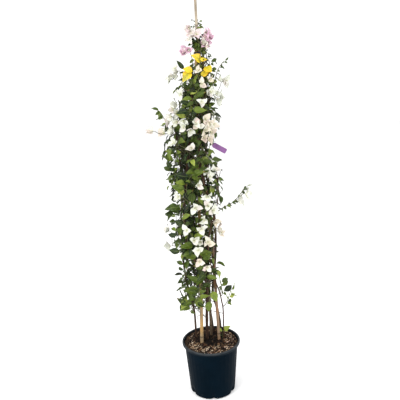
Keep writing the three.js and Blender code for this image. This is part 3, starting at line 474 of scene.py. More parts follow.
def made_plain(host, tree, values, name):
    """The mesh that a tree of geometry nodes makes of a host, plain and in a new object; the host goes."""
    modifier = host.modifiers.new(tree.name, "NODES")
    modifier.node_group = tree
    for item in tree.interface.items_tree:
        if item.item_type == "SOCKET" and item.in_out == "INPUT" and item.name in values:
            modifier[item.identifier] = values[item.name]
    evaluated = host.evaluated_get(bpy.context.evaluated_depsgraph_get())
    mesh = bpy.data.meshes.new_from_object(evaluated)
    if not mesh.polygons:
        raise RuntimeError(f"{name} came out empty")
    mesh.name = name
    piece = bpy.data.objects.new(name, mesh)
    bpy.context.scene.collection.objects.link(piece)
    host.modifiers.remove(modifier)
    bpy.data.objects.remove(host)
    return piece


def settle(piece, slot, *nodes):
    """A finished piece rides on the one body and stands for its solids; the slot it is given is not used."""
    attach(piece, "root")
    if nodes:
        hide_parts(*nodes)


def tree_of(name, **inputs):
    """A new tree of geometry nodes with named inputs, and the node that gives them."""
    tree = bpy.data.node_groups.new(name, "GeometryNodeTree")
    mix = Recipe(tree)
    tree.interface.new_socket("Geometry", in_out="INPUT", socket_type="NodeSocketGeometry")
    for label, kind in inputs.items():
        tree.interface.new_socket(label.replace("_", " "), in_out="INPUT", socket_type="NodeSocket" + kind)
    tree.interface.new_socket("Geometry", in_out="OUTPUT", socket_type="NodeSocketGeometry")
    return mix, mix.add("NodeGroupInput").outputs


def rounded(corners, radii, steps=5):
    """A profile whose corners are rounded, each by its own radius."""
    path = [Vector(corners[0])]
    for before, corner, after, radius in zip(corners, corners[1:], corners[2:], radii):
        before, corner, after = Vector(before), Vector(corner), Vector(after)
        back, on = (before - corner), (after - corner)
        reach = min(radius, back.length * 0.45, on.length * 0.45)
        start, end = corner + back.normalized() * reach, corner + on.normalized() * reach
        for step in range(steps + 1):
            share = step / steps
            path.append(start.lerp(corner, share).lerp(corner.lerp(end, share), share))
    path.append(Vector(corners[-1]))
    return path


def lathed(name, profile, turns, radius_at=None):
    """A profile of (radius, height) points turned round the axis, closed where it meets the axis."""
    points, rows, faces = [], [], []
    for radius, height in profile:
        if radius < MM / 100:
            rows.append([len(points)] * turns)
            points.append((0, 0, height))
            continue
        rows.append(list(range(len(points), len(points) + turns)))
        for turn in range(turns):
            angle = math.tau * turn / turns
            wide = radius_at(radius, height, angle) if radius_at else radius
            points.append((wide * math.cos(angle), wide * math.sin(angle), height))
    for low, high in zip(rows, rows[1:]):
        for turn in range(turns):
            after = (turn + 1) % turns
            face = list(dict.fromkeys((low[turn], low[after], high[after], high[turn])))
            if len(face) > 2:
                faces.append(face)
    return object_of(name, points, (), faces)


def curve_through(points, step):
    """Points along the smooth curve that passes through given points, one every step or so."""
    ends = [points[0] * 2 - points[1], *points, points[-1] * 2 - points[-2]]
    path = []
    for a, b, c, d in zip(ends, ends[1:], ends[2:], ends[3:]):
        count = max(1, round((c - b).length / step))
        for index in range(count):
            t = index / count
            path.append((b * 2 + (c - a) * t + (a * 2 - b * 5 + c * 4 - d) * t * t
                         + (b * 3 - a - c * 3 + d) * t ** 3) / 2)
    path.append(points[-1].copy())
    return path


def squared(face, along):
    """The part of a direction that stands square to another."""
    return (face - along * face.dot(along)).normalized()


def spoke(side, other, angle):
    """The direction at an angle from one side towards the other."""
    return side * math.cos(angle) + other * math.sin(angle)


def level_way(angle):
    """The level direction at an angle."""
    return Vector((math.cos(angle), math.sin(angle), 0))


def blade_at(foot, along, toward, length, half):
    """A blade that points along a way, with its face turned toward another as far as it can."""
    face = squared(toward, along)
    return Blade(foot, along, face, along.cross(face), length, half)


def tapering(points, girth, loss):
    """Stations at points, each thinner than the one before by a loss."""
    return [Station(point, girth - loss * index) for index, point in enumerate(points)]


def ring_faces(rings, sides, closed):
    """Faces between rings of points that follow one another, and from the last to the first if closed."""
    return [
        (ring * sides + side, ring * sides + (side + 1) % sides,
         (ring + 1) % rings * sides + (side + 1) % sides, (ring + 1) % rings * sides + side)
        for ring in range(rings if closed else rings - 1) for side in range(sides)
    ]


def tube_along(path, sides, radius_at):
    """A closed tube along a path; radius_at gives the radius at a share of the path and an angle."""
    points, travelled = [], [0.0]
    for here, there in zip(path, path[1:]):
        travelled.append(travelled[-1] + (there - here).length)
    side = None
    for index, here in enumerate(path):
        onward = (path[min(index + 1, len(path) - 1)] - path[max(index - 1, 0)]).normalized()
        if side is None:
            side = onward.orthogonal().normalized()
        side = squared(side, onward)
        for turn in range(sides):
            angle = math.tau * turn / sides
            radius = radius_at(travelled[index], travelled[-1], angle)
            points.append(here + spoke(side, onward.cross(side), angle) * radius)
    faces = ring_faces(len(path), sides, False)
    faces.append(tuple(reversed(range(sides))))
    faces.append(tuple(range((len(path) - 1) * sides, len(path) * sides)))
    return points, faces


# Leaves, bracts and flowers of length 1 that point along +Y with their face up

LEAF_ROWS = (0, 0.09, 0.24, 0.42, 0.62, 0.82, 1)
LEAF_COLUMNS = (-1, -0.55, 0, 0.55, 1)
BRACT_ROWS = (0, 0.1, 0.26, 0.44, 0.62, 0.8, 0.92, 1)
BRACT_COLUMNS = (-1, -0.66, -0.3, 0, 0.3, 0.66, 1)
LEAF_SHAPES = 12
BRACT_SHAPES = 14
LEAF_HALF = 0.33
BRACT_HALF = 0.42
LEAF_PETIOLE = 0.24
LEAF_SHEET = 0.010
BRACT_SHEET = 0.007
STAR_CORNERS = 10
# How the trees tell blades from flowers, and both from twigs, which have 0
BLADE_MARK = 1.0
FLOWER_MARK = 0.5


def thin_sheet(rows, columns, surface, thickness):
    """A closed sheet: its points and faces, and where each lies along, across and under it."""
    points, marks, top, low = [], [], {}, {}
    last, edge = len(rows) - 1, len(columns) - 1
    for i, along in enumerate(rows):
        for j, across in enumerate(columns):
            if i in (0, last) and j:
                top[i, j] = low[i, j] = top[i, 0]
                continue
            top[i, j] = low[i, j] = len(points)
            points.append(surface(along, across))
            marks.append((along, across))
            if i not in (0, last) and j not in (0, edge):
                low[i, j] = len(points)
                points.append(surface(along, across) - Vector((0, 0, thickness)))
                marks.append((along, across))
    faces, under = [], []
    for i in range(last):
        for j in range(edge):
            corners = ((i, j), (i, j + 1), (i + 1, j + 1), (i + 1, j))
            upper = list(dict.fromkeys(top[corner] for corner in corners))
            lower = list(dict.fromkeys(low[corner] for corner in reversed(corners)))
            faces += [upper, lower]
            under += [0.0, 1.0]
    return points, faces, marks, under


def prism(path, radii, sides):
    """A closed slim prism along a path."""
    shares = np.linspace(0, 1, len(radii))
    return tube_along(path, sides, lambda far, whole, angle: np.interp(far / whole, shares, radii))


def template(name, points, faces, marks, under, kind, collection):
    """A shape that the trees repeat, kept in a collection of its own."""
    thing = object_of(name, points, (), faces)
    mesh = thing.data
    write_down(mesh, "along", "FLOAT", [along for along, _ in marks])
    write_down(mesh, "across", "FLOAT", [across for _, across in marks])
    write_down(mesh, "under", "FLOAT", under, "FACE")
    write_down(mesh, "blade", "FLOAT", [kind] * len(faces), "FACE")
    sides_of = {}
    for polygon in mesh.polygons:
        for key in polygon.edge_keys:
            sides_of.setdefault(key, []).append(under[polygon.index])
    for line in mesh.edges:
        line.use_edge_sharp = len(set(sides_of[line.key])) > 1
    bpy.context.scene.collection.objects.unlink(thing)
    collection.objects.link(thing)


def leaf_template(index, draw, half, collection):
    """An oval leaf with a drawn-out point, folded along its midrib, wavy, and on a petiole."""
    fold = draw.uniform(0.08, 0.55)
    wave = draw.uniform(0.012, 0.045)
    count = draw.uniform(1.2, 2.6)
    phase = draw.uniform(0, math.tau)
    twist = draw.uniform(-0.7, 0.7)
    bend = draw.uniform(0.12, 0.40)
    sway = draw.uniform(-0.08, 0.08)
    blunt = draw.uniform(0.88, 1.12)

    def surface(along, across):
        wide = half * math.sin(math.pi * along ** 0.76) ** blunt if 0 < along < 1 else 0.0
        lift = fold * abs(across) * wide - bend * along * along
        lift += wave * math.sin(math.tau * count * along + phase + across) * across * across
        turn = twist * along * along
        x = across * wide + sway * math.sin(math.pi * along)
        return Vector((x * math.cos(turn), along, lift + x * math.sin(turn)))

    points, faces, marks, under = thin_sheet(LEAF_ROWS, LEAF_COLUMNS, surface, LEAF_SHEET)
    stalk = [Vector((0, -LEAF_PETIOLE, 0)), Vector((0, -LEAF_PETIOLE / 2, 0.01)), Vector((0, 0.05, -0.004))]
    stalk_points, stalk_faces = prism(stalk, (0.022, 0.015, 0.014), 4)
    start = len(points)
    points += stalk_points
    faces += [tuple(start + corner for corner in face) for face in stalk_faces]
    marks += [(0.0, 0.0)] * len(stalk_points)
    under += [0.5] * len(stalk_faces)
    template(f"leaf_{index}", points, faces, marks, under, BLADE_MARK, collection)


def bract_template(index, draw, collection):
    """A papery bract with a point: cupped or folded, curled over, and crumpled."""
    cup = draw.uniform(-0.10, 0.75)
    wave = draw.uniform(0.03, 0.08)
    count = draw.uniform(0.9, 2.2)
    phase = draw.uniform(0, math.tau)
    curl = draw.uniform(-0.30, 0.26)
    sway = draw.uniform(-0.10, 0.10)
    slant = draw.uniform(-2.2, 2.2)
    point = draw.uniform(0.15, 0.45)

    def surface(along, across):
        wide = BRACT_HALF * math.sin(math.pi * along ** 0.80) ** 0.74 if 0 < along < 1 else 0.0
        wide *= 1 - point * along ** 4
        ripple = math.sin(math.tau * count * along + phase + slant * across) * (0.3 + 0.7 * across * across)
        ripple += 0.45 * math.sin(math.tau * 2.7 * along + 3.3 * across + phase)
        lift = curl * along * along + cup * across * across * wide + wave * ripple * min(1.0, 4 * along)
        return Vector((across * wide + sway * math.sin(math.pi * along), along, lift))

    points, faces, marks, under = thin_sheet(BRACT_ROWS, BRACT_COLUMNS, surface, BRACT_SHEET)
    template(f"bract_{index}", points, faces, marks, under, BLADE_MARK, collection)


def flower_template(name, opened, collection):
    """A slim tube that stands in a bract, with a small star of five lobes where it is open."""
    path = [Vector((0, y, 0)) for y in (0, 0.12, 0.5, 0.82, 0.94)]
    radii = (0.035, 0.055, 0.042, 0.062, 0.060 if opened else 0.030)
    points, faces = prism(path, radii, 6)
    if opened:
        centre = len(points)
        points += [Vector((0, 0.93, 0)), Vector((0, 0.90, 0))]
        rim = range(len(points), len(points) + STAR_CORNERS)
        for step in range(STAR_CORNERS):
            angle = math.tau * step / STAR_CORNERS
            reach, height = ((0.20, 0.99), (0.085, 0.95))[step % 2]
            points.append(Vector((reach * math.cos(angle), height, reach * math.sin(angle))))
        for here, there in zip(rim, (*rim[1:], rim[0])):
            faces += [(centre, there, here), (centre + 1, here, there)]
    marks = [(point.y, 0.0) for point in points]
    template(name, points, faces, marks, [0.0] * len(faces), FLOWER_MARK, collection)


def template_collection(name):
    collection = bpy.data.collections.new(name)
    bpy.context.scene.collection.children.link(collection)
    return collection


def discard(collection):
    """The templates go once the last piece has used them, with their meshes."""
    for thing in list(collection.objects):
        bpy.data.meshes.remove(thing.data)
    bpy.data.collections.remove(collection)


# Finishes

FINE_GRAIN = 700.0


def plastic(mix, colours):
    """Matte black moulded plastic, greyer on the rim, which is partly wear and partly a painted highlight,
    with faint scuffs and dust.
    """
    height = mix.height()
    # The rim's grey band: partly wear, partly a painted highlight along the rolled rim.
    rubbed_and_lit = mix.span(height, POT_HEIGHT - 0.011, POT_HEIGHT - 0.001)
    cloudy = mix.noise(9.0, detail=4.0)
    scuffs = mix.span(mix.noise(60.0, mix.place((1, 1, 2)), 5.0, 0.7), 0.60, 0.76)
    body = mix.blend(mix.span(cloudy, 0.35, 0.7), colours.body_dark, colours.body_light)
    tone = mix.over(body, colours.rim, rubbed_and_lit, mix.span(mix.noise(40.0), 0.25, 0.6, 0.35, 1.0))
    low = mix.span(height, 0.0, 0.05, 0.30, 0.0)
    tone = mix.blend(mix.plus(mix.times(scuffs, 0.10), mix.times(low, scuffs)), tone, colours.dust)
    roughness = mix.span(cloudy, 0.3, 0.7, 0.40, 0.55)
    return mix.surface(tone, roughness, mix.noise(FINE_GRAIN, detail=2.0), 0.0002, 0.4, PLASTIC_GLOSS)


def compost_ground(mix, colours):
    """Damp fibrous ground between the chips."""
    grains = mix.noise(420.0, detail=4.0, roughness=0.7)
    tone = mix.ramp(grains, (0.25, colours.dark), (0.5, colours.brown), (0.72, colours.tan))
    tone = mix.blend(mix.span(mix.noise(60.0), 0.4, 0.65, 0.0, 0.7), tone, colours.dark)
    return mix.surface(tone, 0.92, grains, 0.0012, 0.9, BRACT_GLOSS)


def compost_chips(mix, colours):
    """Bark and coir chips; each takes its colour by its own tint, which is darker round the stems as a
    painted shadow.
    """
    fibres = mix.noise(FINE_GRAIN, mix.place((1, 1, 3)), 3.0)
    tone = mix.ramp(
        mix.painted("tint"), (0.0, colours.dark), (0.36, colours.dark), (0.50, colours.brown),
        (0.64, colours.red_brown), (0.74, colours.tan), (0.88, colours.cream), (1.0, colours.pinkish),
    )
    tone = mix.blend(mix.span(fibres, 0.35, 0.7, 0.0, 0.45), tone, colours.dark)
    return mix.surface(tone, 0.85, fibres, 0.0006, 0.8, BRACT_GLOSS)


def bamboo(mix, fresh, low, grey, dark):
    """Dry bamboo: long fine fibres, dark rings at its knots, weathered grey in patches, and another tone low
    down, which on the long cane is painted shade.
    """
    fibres = mix.noise(260.0, mix.place((1, 1, 0.05)), 3.0, 0.6)
    weather = mix.noise(16.0, mix.place((1, 1, 0.5)), 4.0)
    # Low down a cane takes its low tone; on the long cane that is painted shade where it stands behind the
    # trunk.
    tone = mix.blend(mix.span(mix.height(), 0.42, 0.75), low, fresh)
    tone = mix.blend(mix.span(weather, 0.4, 0.62, 0.0, 0.8), tone, grey)
    tone = mix.blend(mix.span(fibres, 0.5, 0.75, 0.0, 0.5), tone, dark)
    tone = mix.over(tone, dark, mix.span(mix.noise(190.0, detail=2.0), 0.66, 0.73), 0.6)
    tone = mix.over(tone, dark, mix.painted("knot"), 0.75)
    return mix.surface(tone, mix.span(fibres, 0.3, 0.7, 0.42, 0.62), fibres, 0.0003, 0.6, LEAF_GLOSS)


def bark(mix, light, mid, dark):
    """Brown bark with lighter ridges that run along it, darker in its furrows."""
    ridges = mix.noise(150.0, mix.place((1, 1, 0.22)), 4.0, 0.62)
    tone = mix.ramp(ridges, (0.3, dark), (0.52, mid), (0.75, light))
    tone = mix.blend(mix.span(mix.noise(30.0), 0.45, 0.7, 0.0, 0.5), tone, mid)
    return mix.surface(tone, 0.8, ridges, 0.0012, 0.8, LEAF_GLOSS)


def twig_skin(mix, young, old):
    """Green young twigs that turn brown where they are thick."""
    streaks = mix.noise(220.0, mix.place((1, 1, 0.3)), 3.0)
    share = mix.plus(mix.painted("age"), mix.span(streaks, 0.3, 0.7, -0.25, 0.25), clamp=True)
    return mix.surface(mix.blend(share, young, old), 0.6, streaks, 0.0004, 0.6)


def vein_lines(mix, pairs, slant, sharpness):
    """1 on the side veins of a blade, which leave the midrib slantwise, and on its midrib."""
    off = mix.sum("ABSOLUTE", mix.painted("across"))
    lean = mix.minus(mix.times(mix.painted("along"), pairs), mix.times(off, slant))
    wiggle = mix.span(mix.noise(120.0), 0.2, 0.8, -0.12, 0.12)
    phase = mix.sum("FRACT", mix.plus(lean, wiggle))
    side = mix.span(mix.sum("ABSOLUTE", mix.minus(phase, 0.5)), 0.0, sharpness, 1.0, 0.0)
    side = mix.times(side, mix.span(off, 0.2, 1.0, 1.0, 0.35))
    return side, mix.span(off, 0.02, 0.085, 1.0, 0.0)


def leaf_skin(mix, colours):
    """Green leaves: each has its own tint, a pale midrib and side veins, and a paler underside; the lowest
    tints, which leaves deep in the column take, are painted shade.
    """
    under = mix.painted("under")
    side, middle = vein_lines(mix, 7.0, 1.6, 0.10)
    mottle = mix.noise(70.0)
    share = mix.plus(mix.painted("tint"), mix.span(mottle, 0.3, 0.7, -0.09, 0.09), clamp=True)
    # The darkest stops are painted shade for the leaves deep in the column.
    tone = mix.ramp(
        share, (0.0, colours.deep), (0.14, colours.blue_green), (0.26, colours.dark), (0.5, colours.middle),
        (0.76, colours.light), (1.0, colours.young),
    )
    tone = mix.over(tone, colours.vein, side, 0.28)
    tone = mix.over(tone, colours.vein, middle, 0.6)
    tone = mix.over(tone, colours.underside, under, 0.5)
    tip, dry = mix.span(mix.painted("along"), 0.80, 1.0), mix.span(mix.painted("worn"), 0.6, 1.0)
    tone = mix.over(tone, colours.worn, tip, dry)
    height = mix.minus(mix.span(mottle, 0.0, 1.0, 0.0, 0.4), mix.greater(side, middle))
    roughness = mix.plus(mix.times(under, 0.2), 0.38)
    return mix.surface(tone, roughness, height, 0.0009, 0.7, LEAF_GLOSS)


def yellow_skin(mix, colours):
    """Leaves gone bright yellow, still green in patches and orange towards one edge."""
    side, middle = vein_lines(mix, 6.0, 1.5, 0.12)
    edge = mix.span(mix.plus(mix.painted("across"), mix.painted("along")), 0.5, 1.5)
    tone = mix.over(colours.yellow, colours.orange, edge, mix.span(mix.noise(55.0), 0.42, 0.6))
    patches = mix.span(mix.noise(38.0, detail=3.0), 0.5, 0.66)
    tone = mix.over(tone, colours.light, mix.times(patches, mix.painted("tint")), 0.85)
    tone = mix.over(tone, colours.light, side, 0.30)
    tone = mix.over(tone, colours.light, middle, 0.6)
    return mix.surface(tone, 0.45, mix.greater(side, middle), 0.0006, 0.6)


def bract_skin(mix, body, edge, paler, colours):
    """Papery bracts: a net of fine greenish veins, a tinted heart, painted shade in patches and at the tips
    (a deeper tint on the pink ones) and a blush on some.
    """
    along, tint = mix.painted("along"), mix.painted("tint")
    side, middle = vein_lines(mix, 5.0, 1.2, 0.07)
    cells = mix.add("ShaderNodeTexVoronoi", {"Vector": mix.place(), "Scale": 330.0},
                       feature="DISTANCE_TO_EDGE")
    net = mix.span(cells.outputs["Distance"], 0.0, 0.09, 1.0, 0.0)
    cloud = mix.noise(60.0, detail=3.0)
    tone = mix.blend(mix.span(tint, 0.2, 0.5), paler, body)
    # The edge tone, laid on in cloudy patches here and at the tips below, is painted shade on the white and
    # cream bracts and a deeper tint on the pink ones.
    tone = mix.over(tone, edge, mix.span(cloud, 0.35, 0.65), mix.span(tint, 0.0, 1.0, 0.35, 0.9))
    tipped = mix.times(mix.span(along, 0.5, 1.0), mix.span(cloud, 0.25, 0.7))
    tone = mix.over(tone, edge, tipped, 0.7)
    blush = mix.times(mix.span(tint, 0.62, 0.95), mix.span(cloud, 0.75, 0.3, 0.2, 1.0))
    tone = mix.over(tone, colours.blush, blush, 0.45)
    tone = mix.blend(mix.span(along, 0.0, 0.40, 0.6, 0.0), tone, colours.heart)
    lines = mix.greater(mix.times(net, 0.12), mix.times(side, 0.22))
    tone = mix.blend(mix.greater(lines, mix.times(middle, 0.4)), tone, colours.vein)
    tone = mix.over(tone, colours.heart, mix.painted("under"), 0.12)
    height = mix.greater(mix.times(net, 0.5), mix.greater(side, middle))
    return mix.surface(tone, 0.62, height, 0.0006, 0.6, BRACT_GLOSS)


def flower_skin(mix, tube, star):
    """The small flowers: a greenish tube under a cream star."""
    tone = mix.blend(mix.span(mix.painted("along"), 0.6, 0.92), tube, star)
    return mix.surface(tone, 0.6, mix.noise(600.0), 0.0003, 0.4)


def rubber(mix, dark, worn):
    """Soft black rubber, shiny where it is stretched."""
    patches = mix.noise(180.0, mix.place((1, 1, 3)), 3.0)
    tone = mix.blend(mix.span(patches, 0.45, 0.65), dark, worn)
    return mix.surface(tone, mix.span(patches, 0.35, 0.65, 0.5, 0.22), patches, 0.0008, 0.7)


def soft_tie(mix, dark, light):
    """A blue plastic tie with fine ribs along it."""
    ribs = mix.noise(500.0, mix.place((0.2, 0.2, 3)), 2.0)
    return mix.surface(mix.blend(mix.span(ribs, 0.4, 0.65), dark, light), 0.45, ribs, 0.0004, 0.6)


def label_card(mix, body, worn):
    """A blank plastic label, a little faded and scuffed."""
    fade = mix.noise(40.0, detail=4.0)
    tone = mix.blend(mix.span(fade, 0.35, 0.7, 0.0, 0.5), body, worn)
    scuffs = mix.span(mix.noise(260.0, detail=4.0, roughness=0.7), 0.62, 0.75)
    return mix.surface(mix.over(tone, worn, scuffs, 0.35), 0.4, fade, 0.0004, 0.4)


def floor_paint(mix, colour):
    """A plain pale floor with the faintest grain."""
    grain = mix.noise(3.0, detail=2.0)
    tone = mix.blend(mix.span(grain, 0.3, 0.7, 0.0, 0.02), colour, (0.8, 0.8, 0.8))
    return mix.surface(tone, 0.9, grain, 0.0005, 0.1)


# The trees that grow leafy limbs and scatter chips

LIMB_NAME = "Leafy limb"


def limb_tree():
    """A host's edges become twigs, and each of its loose points becomes a leaf, bract or flower."""
    mix, given = tree_of(
        LIMB_NAME, Shapes="Collection", Corners="Int", Step="Float", Wood="Material", Blades="Material",
        Flowers="Material",
    )
    lines = mix.geometry("MeshToCurve", {"Mesh": given["Geometry"]})
    soft = mix.geometry("CurveSplineType", {"Curve": lines}, spline_type="CATMULL_ROM")
    even = mix.geometry("ResampleCurve", {"Curve": soft, "Length": given["Step"]}, mode="LENGTH")
    ring = mix.geometry("CurvePrimitiveCircle", {"Resolution": given["Corners"], "Radius": 1.0})
    twig = mix.geometry("CurveToMesh", {
        "Curve": even, "Profile Curve": ring, "Scale": mix.named("girth"), "Fill Caps": True,
    })
    blades = mix.geometry("SeparateGeometry", {
        "Geometry": given["Geometry"], "Selection": mix.named("is_blade", "BOOLEAN"),
    }, domain="POINT")
    grown = mix.planted(blades, given["Shapes"], mix.named("shape", "INT"),
                           mix.named("turn", "QUATERNION"), mix.named("sizes", "FLOAT_VECTOR"))
    both = mix.add("GeometryNodeJoinGeometry")
    for part in (mix.geometry("SetShadeSmooth", {"Geometry": twig}), grown):
        mix.tree.links.new(part, both.inputs[0])
    real = mix.geometry("RealizeInstances", {"Geometry": both.outputs[0]})
    dressed = mix.dressed(real, given["Wood"])
    for mark, finish in ((FLOWER_MARK, "Flowers"), (BLADE_MARK, "Blades")):
        marked = mix.add("FunctionNodeCompare", {
            0: mix.named("blade"), 1: mark - FLOWER_MARK / 2,
        }, operation="GREATER_THAN")
        dressed = mix.dressed(dressed, given[finish], marked.outputs[0])
    mix.add("NodeGroupOutput", {0: dressed})
    return mix.tree


# The tints that chips in the pale heap take, how far they stray, and how much a chip tilts
HEAP_TINT = 0.66
HEAP_SPREAD = 0.25
CHIP_TILT = 0.5


def chip_tree():
    """Chips of several shapes lie scattered over a surface, each turned and tinted by chance, paler in a heap
    and darker round a point as a painted shadow.
    """
    mix, given = tree_of(
        "Scattered chips", Shapes="Collection", Room="Float", Density="Float", Least="Float", Most="Float",
        Heap="Vector", Heap_reach="Float", Damp="Vector", Damp_reach="Float", Seed="Int", Finish="Material",
    )
    where = mix.geometry("InputPosition")

    def drawn(kind, inputs):
        """Something drawn at random for each chip."""
        node = mix.add("FunctionNodeRandomValue", inputs, data_type=kind)
        return next(output for output in node.outputs if output.enabled)

    def nearness(place):
        gap = mix.add("ShaderNodeVectorMath", {0: where, 1: given[place]}, operation="DISTANCE")
        return mix.span(gap.outputs["Value"], 0.0, given[place + " reach"], 1.0, 0.0)

    spread = mix.geometry("DistributePointsOnFaces", {
        "Mesh": given["Geometry"], "Distance Min": given["Room"], "Density Max": given["Density"],
        "Seed": given["Seed"],
    }, distribute_method="POISSON")
    tint = drawn("FLOAT", {2: 0.0, 3: 1.0, 8: given["Seed"]})
    # Chips near the shadow point have their tints pulled down to the dark end: a painted shadow of the plant
    # round the stems.
    dry = mix.minus(1.0, nearness("Damp"))
    pale = mix.sum("MULTIPLY_ADD", tint, HEAP_SPREAD, HEAP_TINT)
    mixed = mix.add("ShaderNodeMix", {
        0: nearness("Heap"), 2: mix.times(tint, dry), 3: pale,
    }, data_type="FLOAT")
    tinted = mix.geometry("StoreNamedAttribute", {
        "Geometry": spread, "Name": "tint", "Value": mixed.outputs[0],
    }, data_type="FLOAT", domain="POINT")
    tilt = drawn("FLOAT_VECTOR", {
        0: (-CHIP_TILT, -CHIP_TILT, 0.0), 1: (CHIP_TILT, CHIP_TILT, math.tau), 8: 11,
    })
    size = drawn("FLOAT", {2: given["Least"], 3: given["Most"], 8: 5})
    turn = mix.add("FunctionNodeEulerToRotation", {0: tilt}).outputs[0]
    laid = mix.planted(tinted, given["Shapes"], drawn("INT", {4: 0, 5: 99, 8: 7}), turn, size)
    real = mix.geometry("RealizeInstances", {"Geometry": laid})
    mix.add("NodeGroupOutput", {0: mix.dressed(real, given["Finish"])})
    return mix.tree


# One twig with its blades, as a host that the tree of leafy limbs reads

# What a host tells of each blade after its place, and what it says there of a twig's points
BLADE_VALUES = (
    ("turn", "QUATERNION", (1, 0, 0, 0)), ("sizes", "FLOAT_VECTOR", (0, 0, 0)), ("shape", "INT", 0),
    ("tint", "FLOAT", 0.0), ("worn", "FLOAT", 0.0),
)


class Host:
    """Twigs and blade points gathered for one piece."""

    def __init__(self):
        self.points, self.edges, self.girth, self.ages = [], [], [], []
        self.blades = []

    def twig(self, stations, age=0.3):
        """Add a twig; its age from 0 to 1, which turns it brown, may be a function of the station."""
        start = len(self.points)
        for station in stations:
            self.points.append(station.at)
            self.girth.append(station.radius)
            self.ages.append(age(station) if callable(age) else age)
        self.edges += [(start + i, start + i + 1) for i in range(len(stations) - 1)]

    def blade(self, blade, unit_half, shape, tint, worn=0.0):
        """Put a template's shape in a blade's frame; unit_half is the template's half width."""
        turn = Matrix((blade.side, blade.along, blade.face)).transposed().to_quaternion()
        sizes = (blade.half / unit_half, blade.length, blade.length)
        self.blades.append((blade.foot, tuple(turn), sizes, shape, min(1.0, max(0.0, tint)), worn))

    def build(self, name):
        """The host's mesh, with what the tree reads written on its points."""
        twigs, blades = len(self.points), len(self.blades)
        host = object_of(name + "_host", self.points + [blade[0] for blade in self.blades], self.edges)
        write_down(host.data, "is_blade", "BOOLEAN", [0] * twigs + [1] * blades)
        write_down(host.data, "girth", "FLOAT", self.girth + [0.0] * blades)
        write_down(host.data, "age", "FLOAT", self.ages + [0.0] * blades)
        for place, (value, kind, blank) in enumerate(BLADE_VALUES, 1):
            write_down(host.data, value, kind, [blank] * twigs + [blade[place] for blade in self.blades])
        return host

    def grow(self, name, shapes, finish, tools, corners=6, step=0.006):
        """The finished piece, grown by the tree of leafy limbs."""
        return made_plain(self.build(name), tools.limb, {
            "Shapes": shapes, "Corners": corners, "Step": step, "Wood": tools.twig, "Blades": finish,
            "Flowers": tools.flower,
        }, name)


# Pot and compost

NOTCH_PITCH = math.tau / NOTCH_COUNT
POT_TURNS = 288
RIB_COUNT = 36
RIB_DEPTH = 0.0002


def notched(radius, height, angle):
    """The pot's radius, pressed in at the notches of its foot and faintly ribbed up its body."""
    away = abs((angle + math.pi / 2 + NOTCH_PITCH / 2) % NOTCH_PITCH - NOTCH_PITCH / 2)
    if radius >= FOOT_RADIUS - FOOT_ROUNDING:
        depth = NOTCH_DEPTH * max(0.0, 1 - height / NOTCH_HEIGHT) * math.exp(-(away / NOTCH_WIDTH) ** 2)
        radius -= depth
    body = min(1.0, max(0.0, (height - NOTCH_HEIGHT) / 0.03)) * (height < POT_HEIGHT - 0.022)
    outside = radius > FOOT_RADIUS - 0.001 + (NECK_RADIUS - FOOT_RADIUS) * (height - 0.03) / 0.2
    return radius + RIB_DEPTH * body * outside * math.cos(RIB_COUNT * angle)


def pot_profile():
    """The pot's section from the middle of its underside round the rim to the middle of its inside."""
    foot = [
        (FOOT_RADIUS - FOOT_ROUNDING * (1 - math.sin(math.radians(turn))),
         FOOT_ROUNDING * (1 - math.cos(math.radians(turn))))
        for turn in range(0, 91, 10)
    ]
    body = [
        (FOOT_RADIUS + (NECK_RADIUS - FOOT_RADIUS) * step / 14,
         FOOT_ROUNDING + (POT_HEIGHT - 0.020 - FOOT_ROUNDING) * step / 14)
        for step in range(1, 14)
    ]
    rim = rounded([
        (NECK_RADIUS - 0.001, POT_HEIGHT - 0.030), (NECK_RADIUS, POT_HEIGHT - 0.020),
        (RIM_RADIUS - 0.003, POT_HEIGHT - RIM_BAND), (RIM_RADIUS, POT_HEIGHT - 0.010),
        (RIM_RADIUS, POT_HEIGHT - 0.003), (RIM_RADIUS - 0.004, POT_HEIGHT),
        (RIM_RADIUS - 0.007, POT_HEIGHT), (RIM_RADIUS - 0.0076, POT_HEIGHT - 0.004),
        (RIM_RADIUS - 0.008, POT_HEIGHT - RIM_BAND), (NECK_RADIUS - POT_WALL, POT_HEIGHT - 0.024),
        (NECK_RADIUS - POT_WALL - 0.001, POT_HEIGHT - 0.034),
    ], (0.004, 0.004, 0.003, 0.003, 0.004, 0.003, 0.003, 0.004, 0.004))
    inside = [(0.101, 0.05), (0.099, 0.018), (0.096, INNER_FLOOR), (0, INNER_FLOOR)]
    return [(0, 0), *foot, *body, *[(point.x, point.y) for point in rim], *inside]


def soil_height(x, y):
    """The compost's top, gently uneven."""
    x, y = x / MM, y / MM
    wave = math.sin(0.11 * x + 1.3) * math.cos(0.13 * y - 0.4) + 0.6 * math.sin(0.23 * x - 0.19 * y)
    return SOIL_HEIGHT + SOIL_RELIEF * wave


